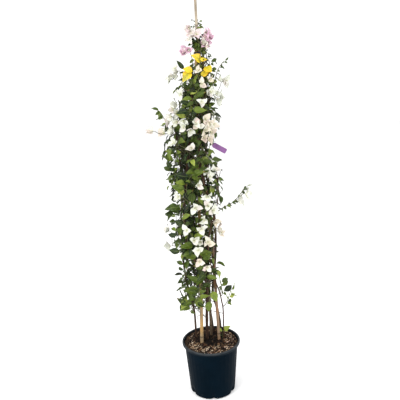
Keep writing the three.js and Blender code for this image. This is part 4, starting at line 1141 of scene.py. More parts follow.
def chip_shapes(collection, draw, count):
    """Rough chips: flat, broken blocks of bark and slim strands, about 1 long."""
    for index in range(count):
        strand = index % 5 == 4
        reach = (1.0, 0.10, 0.08) if strand else (1.0, draw.uniform(0.4, 0.8), draw.uniform(0.2, 0.42))
        points = []
        for x, y, z in ((-1, -1, -1), (1, -1, -1), (1, 1, -1), (-1, 1, -1),
                        (-1, -1, 1), (1, -1, 1), (1, 1, 1), (-1, 1, 1)):
            loose = (draw.uniform(0.55, 1), draw.uniform(0.55, 1), draw.uniform(0.6, 1))
            points.append([way * far * part / 2 for way, far, part in zip((x, y, z), reach, loose)])
        faces = [(0, 3, 2, 1), (4, 5, 6, 7), (0, 1, 5, 4), (1, 2, 6, 5), (2, 3, 7, 6), (3, 0, 4, 7)]
        thing = object_of(f"chip_{index}", points, (), faces, smooth=False)
        bevel = thing.modifiers.new("Worn", "BEVEL")
        bevel.width, bevel.segments = 0.05, 1
        mesh = bpy.data.meshes.new_from_object(thing.evaluated_get(bpy.context.evaluated_depsgraph_get()))
        thing.modifiers.remove(bevel)
        thing.data = mesh
        bpy.context.scene.collection.objects.unlink(thing)
        collection.objects.link(thing)


def make_pot(settings):
    """The pot, turned from its section."""
    pot = lathed("nursery_pot", pot_profile(), POT_TURNS, notched)
    pot.data.materials.append(material_of("Pot plastic", plastic, settings))
    settle(pot, "pot_plastic", "pot")


# The compost: its rings and corners round, how rough its top is, and its outline below that
SOIL_RINGS = 46
SOIL_TURNS = 144
SOIL_ROUGHNESS = 0.0016
SOIL_SIDES = (
    (0, INNER_FLOOR + 0.0003), (0.0828, INNER_FLOOR + 0.0003), (0.0902, 0.020), (0.1011, 0.070),
    (0.1151, SOIL_HEIGHT - 0.014),
)
# The chips: how many kinds, the cells of the net that bears them, how far out it reaches, and how they lie
CHIP_KINDS = 10
CHIP_CELLS = 40
CHIP_REACH = SOIL_RADIUS - 0.008
CHIP_ROOM = {
    "Room": 0.0028, "Density": 90000.0, "Least": 0.0026, "Most": 0.0125, "Seed": 3,
    "Heap": (-0.078, -0.050, SOIL_HEIGHT), "Heap reach": 0.052,
    # Shadow is the middle of a painted shadow round the stems, where the chips are darker, and Shadow reach
    # how far it spreads.
    "Damp": (-0.006, 0.030, SOIL_HEIGHT), "Damp reach": 0.088,
}


def make_ground(settings):
    """The compost itself, from the pot's floor to its uneven top."""
    top = [(SOIL_RADIUS * (SOIL_RINGS - step) / SOIL_RINGS, SOIL_HEIGHT) for step in range(SOIL_RINGS + 1)]
    ground = lathed("compost_ground", [*SOIL_SIDES, *top], SOIL_TURNS)
    for corner in ground.data.vertices:
        if corner.co.z > SOIL_HEIGHT - MM:
            rough = noise.fractal(corner.co * 130, 1.0, 2.0, 3) * SOIL_ROUGHNESS
            corner.co.z = soil_height(corner.co.x, corner.co.y) + rough
    ground.data.materials.append(material_of("Compost ground", compost_ground, settings))
    settle(ground, "compost", "soil")


def make_chips(settings):
    """Chips strewn over the compost, darker round the stems as a painted shadow."""
    shapes = template_collection("Chip shapes")
    chip_shapes(shapes, random.Random(31), CHIP_KINDS)
    points, faces = [], []
    for i in range(CHIP_CELLS + 1):
        for j in range(CHIP_CELLS + 1):
            x, y = (2 * i / CHIP_CELLS - 1) * CHIP_REACH, (2 * j / CHIP_CELLS - 1) * CHIP_REACH
            points.append((x, y, soil_height(x, y) + 0.0005))
    for i in range(CHIP_CELLS):
        for j in range(CHIP_CELLS):
            corner = i * (CHIP_CELLS + 1) + j
            if Vector(points[corner]).xy.length < CHIP_REACH * 0.97:
                faces.append((corner, corner + CHIP_CELLS + 1, corner + CHIP_CELLS + 2, corner + 1))
    finish = material_of("Compost chips", compost_chips, settings)
    values = {**CHIP_ROOM, "Shapes": shapes, "Finish": finish}
    chips = made_plain(object_of("chips_host", points, (), faces), chip_tree(), values, "compost_chips")
    discard(shapes)
    settle(chips, "compost")


# Canes and stems

CANE_SIDES = 20
CANE_STEPS = 240
CANE_OVAL = 0.02
# How far round a knot a cane swells and by what share, and the same of the scar that lies below it
KNOT_REACH, KNOT_SWELL = 0.006, 0.15
SCAR_REACH, SCAR_DEPTH, SCAR_DROP = 0.0012, 0.07, 0.0035
STAIN_REACH = 0.0035
STEM_SIDES = 16
STEM_STEP = 0.0035
KNOB_COUNT = 26
KNOB_REACH = 0.007
RIDGE_DEPTH = 0.13


def swelling(z, places, reach):
    """How much swellings at some heights, each of a reach, add up to at a height."""
    return sum(math.exp(-((z - place) / reach) ** 2) for place in places)


def cane_of(node):
    """A cane: a straight tube that swells at its knots, with a scar line round each of them."""
    foot, *between, tip = routes[node]
    knots = [station.at.z for station in between]
    phase = random.Random(node).uniform(0, math.tau)

    def radius_at(far, whole, angle):
        share = far / whole
        z = foot.at.z + (tip.at.z - foot.at.z) * share
        radius = foot.radius + (tip.radius - foot.radius) * share
        swell = KNOT_SWELL * swelling(z, knots, KNOT_REACH)
        scar = SCAR_DEPTH * swelling(z + SCAR_DROP, knots, SCAR_REACH)
        return radius * (1 + swell - scar + CANE_OVAL * math.cos(2 * angle + phase))

    path = [foot.at.lerp(tip.at, step / CANE_STEPS) for step in range(CANE_STEPS + 1)]
    points, faces = tube_along(path, CANE_SIDES, radius_at)
    piece = object_of(node.replace("cane", "bamboo"), points, (), faces)
    stains = [min(1.0, swelling(point.z, knots, STAIN_REACH)) for point in points]
    write_down(piece.data, "knot", "FLOAT", stains)
    return piece


def make_canes(settings):
    """The three canes, each weathered in its own way."""
    finishes = {
        "cane_left": ("Bamboo ochre", settings.ochre, settings.ochre),
        "cane_right": ("Bamboo reddish", settings.mid, settings.reddish),
        # The long cane's low tone is painted shade, where it stands behind the trunk.
        "cane_back": ("Bamboo weathered", settings.weathered, settings.shaded),
    }
    for node in CANES:
        piece = cane_of(node)
        name, fresh, low = finishes[node]
        piece.data.materials.append(material_of(name, bamboo, fresh, low, settings.grey, settings.dark))
        settle(piece, "bamboo", node)


def stem_of(node):
    """A woody stem, ridged along its length and knobbly where shoots leave it."""
    route = routes[node]
    path = curve_through([station.at for station in route], STEM_STEP)
    heights = [station.at.z for station in route]
    radii = [station.radius for station in route]
    draw = random.Random(node)
    knobs = [(draw.uniform(0.25, 1.4), draw.uniform(0.08, 0.2)) for _ in range(KNOB_COUNT)]
    shift = Vector((draw.uniform(0, 9), draw.uniform(0, 9), 0))

    def radius_at(far, whole, angle):
        z = path[min(len(path) - 1, round(far / whole * (len(path) - 1)))].z
        swell = sum(size * math.exp(-((z - at) / KNOB_REACH) ** 2) for at, size in knobs)
        ridge = noise.noise(Vector((math.cos(angle) * 1.7, math.sin(angle) * 1.7, z * 22)) + shift)
        return float(np.interp(z, heights, radii)) * (1.0 + 0.5 * swell + RIDGE_DEPTH * ridge)

    points, faces = tube_along(path, STEM_SIDES, radius_at)
    return object_of(node.replace("stem", "bark"), points, (), faces)


def make_stems(settings):
    """The woody stems, the thin one in redder bark."""
    finish = material_of("Stem bark", bark, settings.light, settings.mid, settings.dark)
    red = material_of("Young bark", bark, settings.light, settings.red_bark, settings.dark)
    for node in STEMS:
        piece = stem_of(node)
        piece.data.materials.append(red if node == "stem_thin" else finish)
        settle(piece, "bark", node)


# Shoots, sprays and the foliage between them

class Near:
    """A store of places, to ask whether one of them is close."""

    def __init__(self, cell):
        self.cell, self.store = cell, {}

    def key(self, place):
        return tuple(int(math.floor(level / self.cell)) for level in place)

    def add(self, place):
        self.store.setdefault(self.key(place), []).append(Vector(place))

    def close(self, place, reach):
        x, y, z = self.key(place)
        return any(
            (other - place).length < reach
            for i in (x - 1, x, x + 1) for j in (y - 1, y, y + 1) for k in (z - 1, z, z + 1)
            for other in self.store.get((i, j, k), ())
        )


def blade_samples(blade):
    """A few places on a blade, to keep others clear of it."""
    samples = []
    for share in (0.12, 0.4, 0.7, 0.95):
        drop = blade.face * blade.length * LEAF_FORM.bend * share ** 2
        samples.append(blade.foot + blade.along * blade.length * share - drop)
    middle = blade.foot + blade.along * blade.length * 0.38
    return samples + [middle + blade.side * blade.half * 0.7, middle - blade.side * blade.half * 0.7]


def loosened(blade, draw):
    """A blade turned a little in its place, because no two hang alike."""
    turn = Matrix.Identity(3)
    for spread, axis in ((0.14, blade.face), (0.20, blade.side), (0.28, blade.along)):
        turn = turn @ Matrix.Rotation(draw.gauss(0, spread), 3, axis)
    return blade._replace(along=turn @ blade.along, face=turn @ blade.face, side=turn @ blade.side)


# How much narrower than their solids the leaves are, by height
LEAF_HEIGHTS = (0.50, 0.66, 1.10, 1.18, 1.40, 1.44)
LEAF_NARROWING = (0.62, 0.84, 0.86, 0.80, 0.78, 0.62)
# How much longer and wider than their solids the leaves of some slim shoots are
LEAF_GROWTH = {
    "shoot_right_long": (1.35, 1.7), "shoot_left_tip": (1.25, 1.6), "shoot_top_right": (1.2, 1.4),
    "shoot_low_right": (1.3, 1.7), "shoot_low_sprig": (1.3, 1.7), "shoot_low_left": (1.0, 0.8),
}
YOUNG_SHOOTS = {"shoot_crown", "shoot_top", "shoot_left_tip", "shoot_right_arch", "shoot_top_right"}
REACHING_SHOOTS = {
    "shoot_right_long", "shoot_left_tip", "shoot_top_right", "shoot_right_arch", "shoot_low_right",
    "shoot_low_sprig",
}


def make_shoots(tools):
    """The leafy shoots: each node's twig and leaves again, in fine."""
    draw = random.Random(5)
    for node in SHOOTS:
        stations, blades, _ = leafy[node]
        host = Host()
        host.twig(stations, age=lambda station: min(1.0, max(0.0, (station.radius - 0.0012) / 0.0009)))
        for blade in blades:
            tint = draw.gauss(0.48, 0.25) + (0.10 if node in YOUNG_SHOOTS else 0)
            narrow = float(np.interp(blade.foot.z, LEAF_HEIGHTS, LEAF_NARROWING))
            long, wide = LEAF_GROWTH.get(node, (1.0, 1.0))
            blade = blade._replace(length=blade.length * long, half=blade.half * wide * narrow)
            host.blade(blade, LEAF_HALF, draw.randrange(LEAF_SHAPES), tint, draw.random())
        piece = host.grow(node.replace("shoot", "leaves"), tools.leaves, tools.leaf, tools, corners=7)
        settle(piece, "green_leaf", node)


def column_at(z, middles):
    """The middle and the spread of the foliage round a height."""
    weight = np.exp(-((middles[:, 2] - z) / 0.07) ** 2)
    centre = (middles[:, :2] * weight[:, None]).sum(0) / weight.sum()
    off = np.linalg.norm(middles[:, :2] - centre, axis=1)
    return Vector((*centre, z)), float(math.sqrt((off ** 2 * weight).sum() / weight.sum()))


def leafy_middles():
    """The middles of the leaves that make the column, without the shoots that reach out of it."""
    return np.array([
        blade.foot + blade.along * (blade.length / 2)
        for node in SHOOTS if node not in REACHING_SHOOTS for blade in leafy[node][1]
    ])


# What stays clear of the filling: from how far behind to how far before a bloom, how far beside it as a
# share of its length, and how far round the label
BLOOM_BACK, BLOOM_FRONT = -0.004, 0.060
BLOOM_SIDE = 0.76
LABEL_CLEAR = 0.045


class Room:
    """The room that is still free round the blades, the blooms and the label."""

    def __init__(self):
        self.near = Near(0.012)
        self.shown = []
        for node in SHOOTS + SPRAYS:
            for blade in leafy[node][1]:
                self.take(blade)
            self.shown += leafy[node][2]
        for node in YELLOW_LEAVES:
            for blade in read_loose_blades(node, YELLOW_FORM):
                self.take(blade)
                middle = blade.foot + blade.along * blade.length / 2
                self.shown.append(Bloom(middle, blade.face, blade.length, None))
        low, high = (Vector(corner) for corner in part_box("label"))
        self.label = (low + high) / 2

    def take(self, blade):
        for place in blade_samples(blade):
            self.near.add(place)

    def hides_bloom(self, place):
        for bloom in self.shown:
            off = place - bloom.centre
            forward = off.dot(bloom.axis)
            beside = (off - bloom.axis * forward).length
            if BLOOM_BACK < forward < BLOOM_FRONT and beside < BLOOM_SIDE * bloom.length:
                return True
        return False

    def free(self, blade, reach):
        samples = blade_samples(blade)
        if any((place - self.label).length < LABEL_CLEAR for place in samples):
            return False
        return not any(self.near.close(place, reach) or self.hides_bloom(place) for place in samples)


# Further blooms that crowd beside a spray's own, in millimetres: the middle of each, and a bract's length
FURTHER_BLOOMS = {
    "spray_top_cream": ((-29, -22, 1592, 24), (-24, -24, 1574, 26), (-33, -22, 1553, 22)),
    "spray_centre_high": ((14, -38, 1538, 22), (26, -38, 1526, 20)),
    "spray_top_pink": ((22, -20, 1572, 29), (34, -24, 1556, 31), (16, -28, 1546, 27), (30, -26, 1538, 27)),
    "spray_pink_left": ((-36, -20, 1512, 30), (-56, -18, 1503, 29)),
    "spray_left_high": ((-86, -16, 1415, 28), (-92, -20, 1444, 27), (-106, -20, 1409, 26)),
    "spray_right_high": ((73, -14, 1330, 30), (90, -18, 1386, 30), (72, -30, 1394, 27), (56, -30, 1344, 28)),
    "spray_right_mid": ((25, -44, 1343, 26),),
    "spray_white_left": (
        (-92, -50, 1276, 33), (-94, -66, 1240, 34), (-127, -40, 1240, 30), (-108, -60, 1288, 28),
    ),
    "spray_front_high": ((-69, -84, 1248, 28), (-45, -84, 1212, 29)),
    "spray_cream_big": ((-15, -82, 1226, 30), (31, -70, 1194, 34), (0, -90, 1181, 30), (22, -84, 1230, 33)),
    "spray_right_1020": ((12, -68, 1036, 28),),
    "spray_front_980": ((10, -92, 900, 29),),
    "spray_front_left": ((-22, -106, 756, 30),),
    "spray_right_790": ((33, -62, 822, 32), (54, -50, 768, 30)),
    "spray_back_low": ((-62, 104, 778, 30), (-112, 78, 742, 28)),
    "spray_back_high": ((0, 102, 1062, 30), (-78, 100, 1096, 30), (-14, 92, 1272, 30), (58, 66, 1226, 28)),
}
CUP_OPENING = math.radians(30)
CROWD_TRIES = 20
CROWD_ROOM = 0.0042
CROWD_STRAY = 0.007
COLUMN_MIDDLE = Vector((-0.03, 0.01, 0))


def bracts_round(bloom, opening, draw):
    """The three bracts of a bloom, each opened from its axis by an angle."""
    side = bloom.axis.orthogonal().normalized()
    other = bloom.axis.cross(side)
    start = draw.uniform(0, math.tau)
    blades = []
    for index in range(3):
        angle = start + math.tau * index / 3 + draw.gauss(0, 0.14)
        radial = spoke(side, other, angle)
        lean = opening * draw.uniform(0.8, 1.2)
        along = bloom.axis * math.cos(lean) + radial * math.sin(lean)
        face = bloom.axis * math.sin(lean) - radial * math.cos(lean)
        length = bloom.length * draw.uniform(0.86, 1.04)
        blades.append(Blade(bloom.centre + radial * 0.002, along, face, along.cross(face), length,
                            length * BRACT_HALF * draw.uniform(0.86, 1.0)))
    return blades


def further_bloom(wanted, stray, bloom, draw):
    """A further bloom near a wanted place, on the stalk of a bloom beside it, that faces outward."""
    *place, length = (level * MM for level in wanted)
    off = Vector((draw.uniform(-1, 1), draw.uniform(-1, 1), draw.uniform(-1, 1)))
    centre = Vector(place) + off * stray
    outward = Vector((centre.x, centre.y, 0)) - COLUMN_MIDDLE
    lean = Vector((draw.gauss(0, 0.34), draw.gauss(0, 0.34), draw.gauss(0.1, 0.34)))
    return Bloom(centre, (outward.normalized() + lean).normalized(), length, bloom.stalk_foot)


def crowded_blooms():
    """Each spray's further blooms with their bracts, in the room that is left, the same on every call."""
    draw = random.Random(41)
    room = Room()
    crowds = {}
    for node in SPRAYS:
        crowds[node] = []
        for wanted in FURTHER_BLOOMS.get(node, ()):
            middle = Vector(wanted[:3]) * MM
            bloom = min(leafy[node][2], key=lambda one: (one.centre - middle).length)
            for index in range(CROWD_TRIES):
                made = further_bloom(wanted, CROWD_STRAY * index / CROWD_TRIES, bloom, draw)
                blades = bracts_round(made, math.radians(draw.uniform(22, 62)), draw)
                samples = [place for blade in blades for place in blade_samples(blade)[1:4]]
                tight = any(room.near.close(place, CROWD_ROOM) for place in samples)
                if not tight or index == CROWD_TRIES - 1:
                    for blade in blades:
                        room.take(blade)
                    crowds[node].append((made, blades))
                    break
    return crowds


FILLING_BANDS = {"low": (0.0, 0.62), "middle": (0.62, 0.98), "high": (0.98, 1.28), "top": (1.28, 9.0)}
GOLDEN_TURN = math.radians(137.5)
NARROWER_ABOVE = 1.15
TOP_BAND = 1.36
THIN_SPREAD = 0.030
TOP_SHARE = 0.78
LOW_BAND = (0.40, 0.62, 0.80)
LOW_SHARES = (0.58, 0.72, 1.0)


def filling_leaf(path, index, turn, middle, settings, draw):
    """A leaf that leaves a twig at one of its points: out and down, with its face up and outward."""
    onward = (path[index] - path[index - 1]).normalized()
    side = onward.orthogonal().normalized()
    out = spoke(side, onward.cross(side), turn)
    outward = Vector((path[index].x - middle.x, path[index].y - middle.y, 0))
    if outward.length > 0:
        outward.normalize()
    last = index == len(path) - 1
    along = onward * 0.9 if last else out * 0.9 + onward * 0.4
    along = (along + outward * 0.35 - UP * draw.uniform(0.2, 1.7)).normalized()
    stray = Vector((draw.gauss(0, 0.34), draw.gauss(0, 0.34), draw.gauss(0, 0.25)))
    length = settings.least + (settings.most - settings.least) * draw.random() ** 1.5
    half = length * (draw.uniform(0.22, 0.33) if path[0].z < NARROWER_ABOVE else draw.uniform(0.19, 0.27))
    toward = outward * 0.8 + UP * 0.5 + stray
    return blade_at(path[index] + along * length * LEAF_PETIOLE, along, toward, length, half)


def make_filling(settings, tools):
    """The many further twigs and leaves that close the column between the shoots."""
    draw = random.Random(settings.seed)
    middles = leafy_middles()
    room = Room()
    for crowd in crowded_blooms().values():
        for bloom, blades in crowd:
            room.shown.append(bloom)
            for blade in blades:
                room.take(blade)
    bearers = [routes[node] for node in STEMS] + [routes["cane_back"]]
    hosts = {band: Host() for band in FILLING_BANDS}
    for _ in range(settings.twigs):
        z = settings.low + (settings.high - settings.low) * draw.random() ** 0.92
        bearer = draw.choice([route for route in bearers if route[0].at.z < z < route[-1].at.z])
        start = at_height(bearer, z)
        middle, spread = column_at(z + 0.03, middles)
        if bearer is routes["stem_thin"]:
            middle, spread = Vector((*start.at.xy, z)), THIN_SPREAD
        spread *= TOP_SHARE if z > TOP_BAND else float(np.interp(z, LOW_BAND, LOW_SHARES))
        way = draw.uniform(0, math.tau)
        aim = middle + level_way(way) * spread * draw.uniform(0.5, 1.1)
        aim.z = z + (draw.uniform(0.0, 0.05) if z > settings.high - 0.1 else draw.uniform(0.01, 0.09))
        reach = aim - start.at
        lean = UP * draw.uniform(0.0, 0.03)
        curve = [start.at + reach * share + lean * math.sin(math.pi * share) for share in (0, 0.3, 0.65, 1)]
        path = curve_through(curve, 0.016)
        host = next(hosts[band] for band, (low, high) in FILLING_BANDS.items() if low <= z < high)
        last_leafed = 0
        turn = draw.uniform(0, math.tau)
        for index in range(1, len(path)):
            turn += GOLDEN_TURN
            blade = filling_leaf(path, index, turn, middle, settings, draw)
            tip = blade.foot + blade.along * blade.length
            off = Vector((tip.x - middle.x, tip.y - middle.y, 0)).length
            crossing = not settings.low - 0.05 < tip.z < settings.high + 0.05
            if crossing or off > spread * settings.widest or not room.free(blade, settings.room):
                continue
            room.take(blade)
            last_leafed = index
            base = Vector((blade.foot.x - middle.x, blade.foot.y - middle.y, 0)).length
            # The tint grows with a leaf's distance from the column's middle, so leaves deep inside take
            # painted shade; above 1.2 m they are a little lighter.
            tint = draw.gauss(0.06 + 0.34 * base / spread, 0.21) + 0.10 * (z > 1.2)
            host.blade(blade, LEAF_HALF, draw.randrange(LEAF_SHAPES), tint, draw.random())
        ends = max(last_leafed, 2 if draw.random() < 0.4 else 0)
        if ends:
            host.twig(tapering(path[:ends + 1], 0.0017, 0.0007 / ends), age=0.75 if z < 1.25 else 0.5)
    for band, host in hosts.items():
        settle(host.grow("filling_" + band, tools.leaves, tools.leaf, tools, step=0.009), "green_leaf")


def read_loose_blades(node, form):
    """The blades of a node that holds nothing else."""
    places, near, meeting = read_corners(node)
    blades = []
    for tip in range(len(places)):
        rings = rings_below(tip, near) if meeting[tip] == 3 else []
        if len(rings) > 1 and ring_middle(places[rings[0]])[1] * 2 > CORE_WIDTH:
            blades.append(read_blade(places, rings, tip, form))
    return blades


CREAM_SPRAYS = {
    "spray_top_cream", "spray_centre_high", "spray_bud_left", "spray_cream_big", "spray_right_790",
    "spray_low_front",
}
PINK_SPRAYS = {"spray_top_pink", "spray_pink_left"}
BLUSHED_SPRAYS = {"spray_top_cream"}
CUP_SPRAYS = {"spray_bud_left"}
# How much longer and wider than their solids some sprays' bracts are
BRACT_GROWTH = {
    "spray_bud_left": (1.35, 2.3), "spray_top_pink": (1.08, 1.25), "spray_pink_left": (1.08, 1.3),
    "spray_top_cream": (1.05, 1.2), "spray_centre_high": (0.85, 0.85), "spray_left_high": (1.15, 1.35),
    "spray_right_high": (1.2, 1.4), "spray_left_faint": (1.3, 1.4), "spray_right_long": (1.3, 1.4),
}


def add_flowers(host, bloom, draw):
    """A bloom's stalk, and the three small flowers that stand among its bracts."""
    start = bloom.stalk_foot
    end = bloom.centre - bloom.axis * 0.001
    bow = (start + end) / 2 - bloom.axis * 0.0015
    host.twig([Station(start, 0.00085), Station(bow, 0.0008), Station(end, 0.0011)], age=0.15)
    side = bloom.axis.orthogonal().normalized()
    other = bloom.axis.cross(side)
    for index in range(3):
        angle = math.tau * index / 3 + draw.uniform(-0.2, 0.2)
        radial = spoke(side, other, angle)
        along = (bloom.axis + radial * draw.uniform(0.22, 0.4)).normalized()
        tall = bloom.length * draw.uniform(0.42, 0.58)
        flower = blade_at(bloom.centre + radial * 0.0012, along, radial, tall, tall)
        host.blade(flower, 1.0, BRACT_SHAPES + (index == 0), 0.5)


def make_sprays(tools):
    """The sprays of blooms: three papery bracts, and three small flowers among them."""
    draw = random.Random(9)
    crowds = crowded_blooms()
    for node in SPRAYS:
        stations, blades, blooms = leafy[node]
        host = Host()
        host.twig(stations, age=0.45)
        for bloom in blooms:
            add_flowers(host, bloom, draw)
        if node in CUP_SPRAYS:
            blades = [blade for bloom in blooms for blade in bracts_round(bloom, CUP_OPENING, draw)]
        long, wide = BRACT_GROWTH.get(node, (1.0, 1.0))
        blades = [blade._replace(length=blade.length * long, half=blade.half * wide) for blade in blades]
        for blade in blades:
            blade = loosened(blade, draw)._replace(half=blade.half * draw.uniform(0.84, 1.0))
            host.blade(blade, BRACT_HALF, draw.randrange(BRACT_SHAPES), draw.random())
        for bloom, beside in crowds[node]:
            add_flowers(host, bloom, draw)
            for blade in beside:
                host.blade(blade, BRACT_HALF, draw.randrange(BRACT_SHAPES), draw.random())
        kind = "cream" if node in CREAM_SPRAYS else "pink" if node in PINK_SPRAYS else "white"
        finish = tools.bract["blushed" if node in BLUSHED_SPRAYS else kind]
        settle(host.grow(node.replace("spray", "bracts"), tools.bracts, finish, tools), kind + "_bract", node)


# Second blades beside the yellow leaves: the foot of each, the way it points, its length and half width
YELLOW_PAIRS = {
    "yellow_leaf_top": ((0.004, -0.044, 1.474), (0.92, -0.15, 0.10), 0.029, 0.0085),
    "yellow_leaf_left": ((-0.028, -0.036, 1.431), (-0.90, -0.15, 0.34), 0.038, 0.0135),
    "yellow_leaf_right": ((0.004, -0.044, 1.416), (0.80, -0.12, 0.34), 0.036, 0.0125),
}
YELLOW_FACE = Vector((0.1, -1, 0.45))


def make_yellow_leaves(tools):
    """The bright yellow leaves under the tie, each with a second, smaller blade."""
    draw = random.Random(14)
    for node in YELLOW_LEAVES:
        host = Host()
        for blade in read_loose_blades(node, YELLOW_FORM):
            host.blade(blade, LEAF_HALF, draw.randrange(LEAF_SHAPES), draw.uniform(0.2, 1.0))
            foot, along, length, half = YELLOW_PAIRS[node]
            second = blade_at(Vector(foot), Vector(along).normalized(), YELLOW_FACE, length, half)
            host.twig([Station(blade.foot, 0.0012), Station(second.foot, 0.0009)], 0.2)
            host.blade(second, LEAF_HALF, draw.randrange(LEAF_SHAPES), draw.uniform(0.0, 0.5))
        piece = host.grow(node.replace("yellow_leaf", "yellow_leaves"), tools.leaves, tools.yellow, tools)
        settle(piece, "yellow_leaf", node)


# A tuft leaf's half width as a share of its length, the room kept round it, and that above and below the tie
TUFT_SHARE = 0.27
TUFT_ROOM = 0.003
TIE_ROOM = 0.004


def grow_tuft(host, places, count, room, draw):
    """Small leaves on short twigs that stand forward of given places and hide the canes, but not the tie."""
    tie_low, tie_high = (corner[2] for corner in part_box("tie_black"))
    for _ in range(count):
        start = draw.choice(places)
        way = Vector((draw.gauss(0.2, 0.6), draw.uniform(-1.0, -0.4), draw.gauss(0.0, 0.5))).normalized()
        foot = start + way * draw.uniform(0.006, 0.024)
        along = (way + Vector((draw.gauss(0.1, 0.5), 0.5, draw.gauss(-0.5, 0.5)))).normalized()
        toward = Vector((draw.gauss(0, 0.3), -1, 0.5))
        length = draw.uniform(0.018, 0.030)
        blade = blade_at(foot, along, toward, length, length * TUFT_SHARE)
        on_tie = any(tie_low - TIE_ROOM < place.z < tie_high + TIE_ROOM for place in blade_samples(blade))
        if not on_tie and room.free(blade, TUFT_ROOM):
            room.take(blade)
            host.twig(tapering([start, foot - along * length * LEAF_PETIOLE], 0.0010, 0.0002), 0.5)
            shape, tint = draw.randrange(LEAF_SHAPES), draw.gauss(0.38, 0.2)
            host.blade(blade, LEAF_HALF, shape, tint, draw.random())


# The shoot wound round the long cane: between which heights, how many turns, and how many steps
WRAP_LOW, WRAP_HIGH = 1.507, 1.622
WRAP_TURNS = 2.6
WRAP_STEPS = 44
WRAP_ROOM = 0.004
# How many leaves are tried in the tuft on that shoot and in the one under the tie, and where the latter lies
WRAP_TUFT = 60
UNDER_TUFT = 150
TUFT_HEIGHTS = (1.37, 1.49)


def make_crown(tools):
    """A thin dark shoot that winds up the long cane above the tie, with small leaves."""
    draw = random.Random(21)
    host = Host()
    wound = [Station(routes["stem_right"][-1].at, 0.0016), Station(Vector((0.0175, -0.016, 1.492)), 0.0016)]
    for step in range(WRAP_STEPS):
        share = step / (WRAP_STEPS - 1)
        cane = at_height(routes["cane_back"], WRAP_LOW + (WRAP_HIGH - WRAP_LOW) * share)
        angle = math.tau * WRAP_TURNS * share - 0.9
        loose = 0.0042 + 0.003 * math.sin(4.1 * angle)
        wound.append(Station(cane.at + level_way(angle) * (cane.radius + loose), 0.0015 - 0.0005 * share))
    host.twig(wound, age=0.95)
    room = Room()
    for step in range(2, WRAP_STEPS + 2):
        share = step / WRAP_STEPS
        for _ in range(4 if share < 0.3 else 1):
            here = wound[step].at
            cane = at_height(routes["cane_back"], here.z).at
            out = (here - cane).normalized()
            stray = Vector((draw.gauss(0.1, 0.6), draw.gauss(0, 0.5), draw.gauss(-0.15, 0.6)))
            along = (out * 0.7 + stray + Vector((0.35, 0, 0)) * (share < 0.3)).normalized()
            toward = UP * 0.5 - Vector((0, 1, 0)) * 0.6 + out * 0.3 + stray * 0.4
            length = draw.uniform(0.012, 0.021) * (1.7 - 1.0 * share)
            blade = blade_at(here + along * length * 0.2, along, toward, length, length * TUFT_SHARE)
            if room.free(blade, WRAP_ROOM):
                room.take(blade)
                shape, tint = draw.randrange(LEAF_SHAPES), draw.gauss(0.30, 0.2)
                host.blade(blade, LEAF_HALF, shape, tint, draw.random())
    grow_tuft(host, [station.at for station in wound[2:16]], WRAP_TUFT, room, draw)
    bearers = [routes[node] for node in ("stem_right", "stem_trunk", "stem_left", "cane_back")]
    under_tie = [
        at_height(route, z).at for z in np.linspace(*TUFT_HEIGHTS, 16).tolist() for route in bearers
        if z < route[-1].at.z
    ]
    grow_tuft(host, under_tie, UNDER_TUFT, room, draw)
    settle(host.grow("crown_wrap", tools.leaves, tools.leaf, tools), "green_leaf")


# The sprout's leaves: the place on its stem, the way each points, its face, its length, half width and tint
SPROUT_PLACE = (0.053, 0.030)
SPROUT_STEM = ((0.0, 0.0, 0.0), (0.002, -0.001, 0.018), (0.003, -0.002, 0.038))
SPROUT_LEAVES = (
    (2, (0.62, -0.25, 0.62), (-0.5, -0.75, 0.45), 0.036, 0.0125, 0.86),
    (2, (-0.55, -0.35, 0.45), (0.3, -0.6, 0.8), 0.026, 0.0085, 0.8),
    (1, (-0.8, -0.5, 0.15), (0.1, -0.4, 0.9), 0.026, 0.008, 0.3),
)


def make_sprout(tools):
    """A young sprout beside the canes: one broad folded leaf, a smaller one, and a dark one at its foot."""
    host = Host()
    root = Vector((*SPROUT_PLACE, soil_height(*SPROUT_PLACE) - 0.002))
    stem = [root + Vector(step) for step in SPROUT_STEM]
    host.twig(tapering(stem, 0.0016, 0.0003), 0.1)
    for index, (at, along, face, length, half, tint) in enumerate(SPROUT_LEAVES):
        along = Vector(along).normalized()
        foot = stem[at] + along * length * LEAF_PETIOLE
        host.blade(blade_at(foot, along, Vector(face), length, half), LEAF_HALF, index, tint)
    settle(host.grow("sprout", tools.leaves, tools.leaf, tools, corners=7, step=0.005), "green_leaf")


# Bare twigs low on the plant: which stem each leaves, at what height, and the points that it passes
BARE_TWIGS = (
    ("stem_left", 0.418, ((-0.092, -0.004, 0.405), (-0.078, -0.018, 0.382))),
    ("stem_trunk", 0.352, ((-0.034, -0.004, 0.372), (-0.056, -0.014, 0.368), (-0.052, -0.016, 0.342))),
    ("stem_thin", 0.600, ((0.026, -0.040, 0.650), (0.034, -0.044, 0.690), (0.026, -0.046, 0.716))),
    ("stem_right", 0.640, ((0.040, 0.010, 0.668), (0.036, -0.026, 0.700), (0.018, -0.048, 0.706))),
)
# Broad leaves that hang there: which stem each leaves and at what height, its foot, the way it points, its
# face, its length, its half width and its tint
LOW_LEAVES = (
    ("stem_left", 0.486, (-0.10, -0.04, 0.47), (-0.42, -0.25, -0.86), (0.35, -0.9, 0.3), 0.052, 0.017, 0.86),
    ("stem_trunk", 0.49, (-0.052, -0.05, 0.478), (0.3, -0.3, -0.8), (-0.2, -0.9, 0.5), 0.05, 0.018, 0.66),
    ("stem_thin", 0.47, (0, -0.04, 0.452), (-0.1, -0.35, -0.9), (0.1, -0.9, 0.4), 0.046, 0.016, 0.6),
    ("stem_thin", 0.52, (0.01, -0.048, 0.5), (0.45, -0.3, -0.75), (0.2, -0.8, 0.6), 0.048, 0.017, 0.74),
)
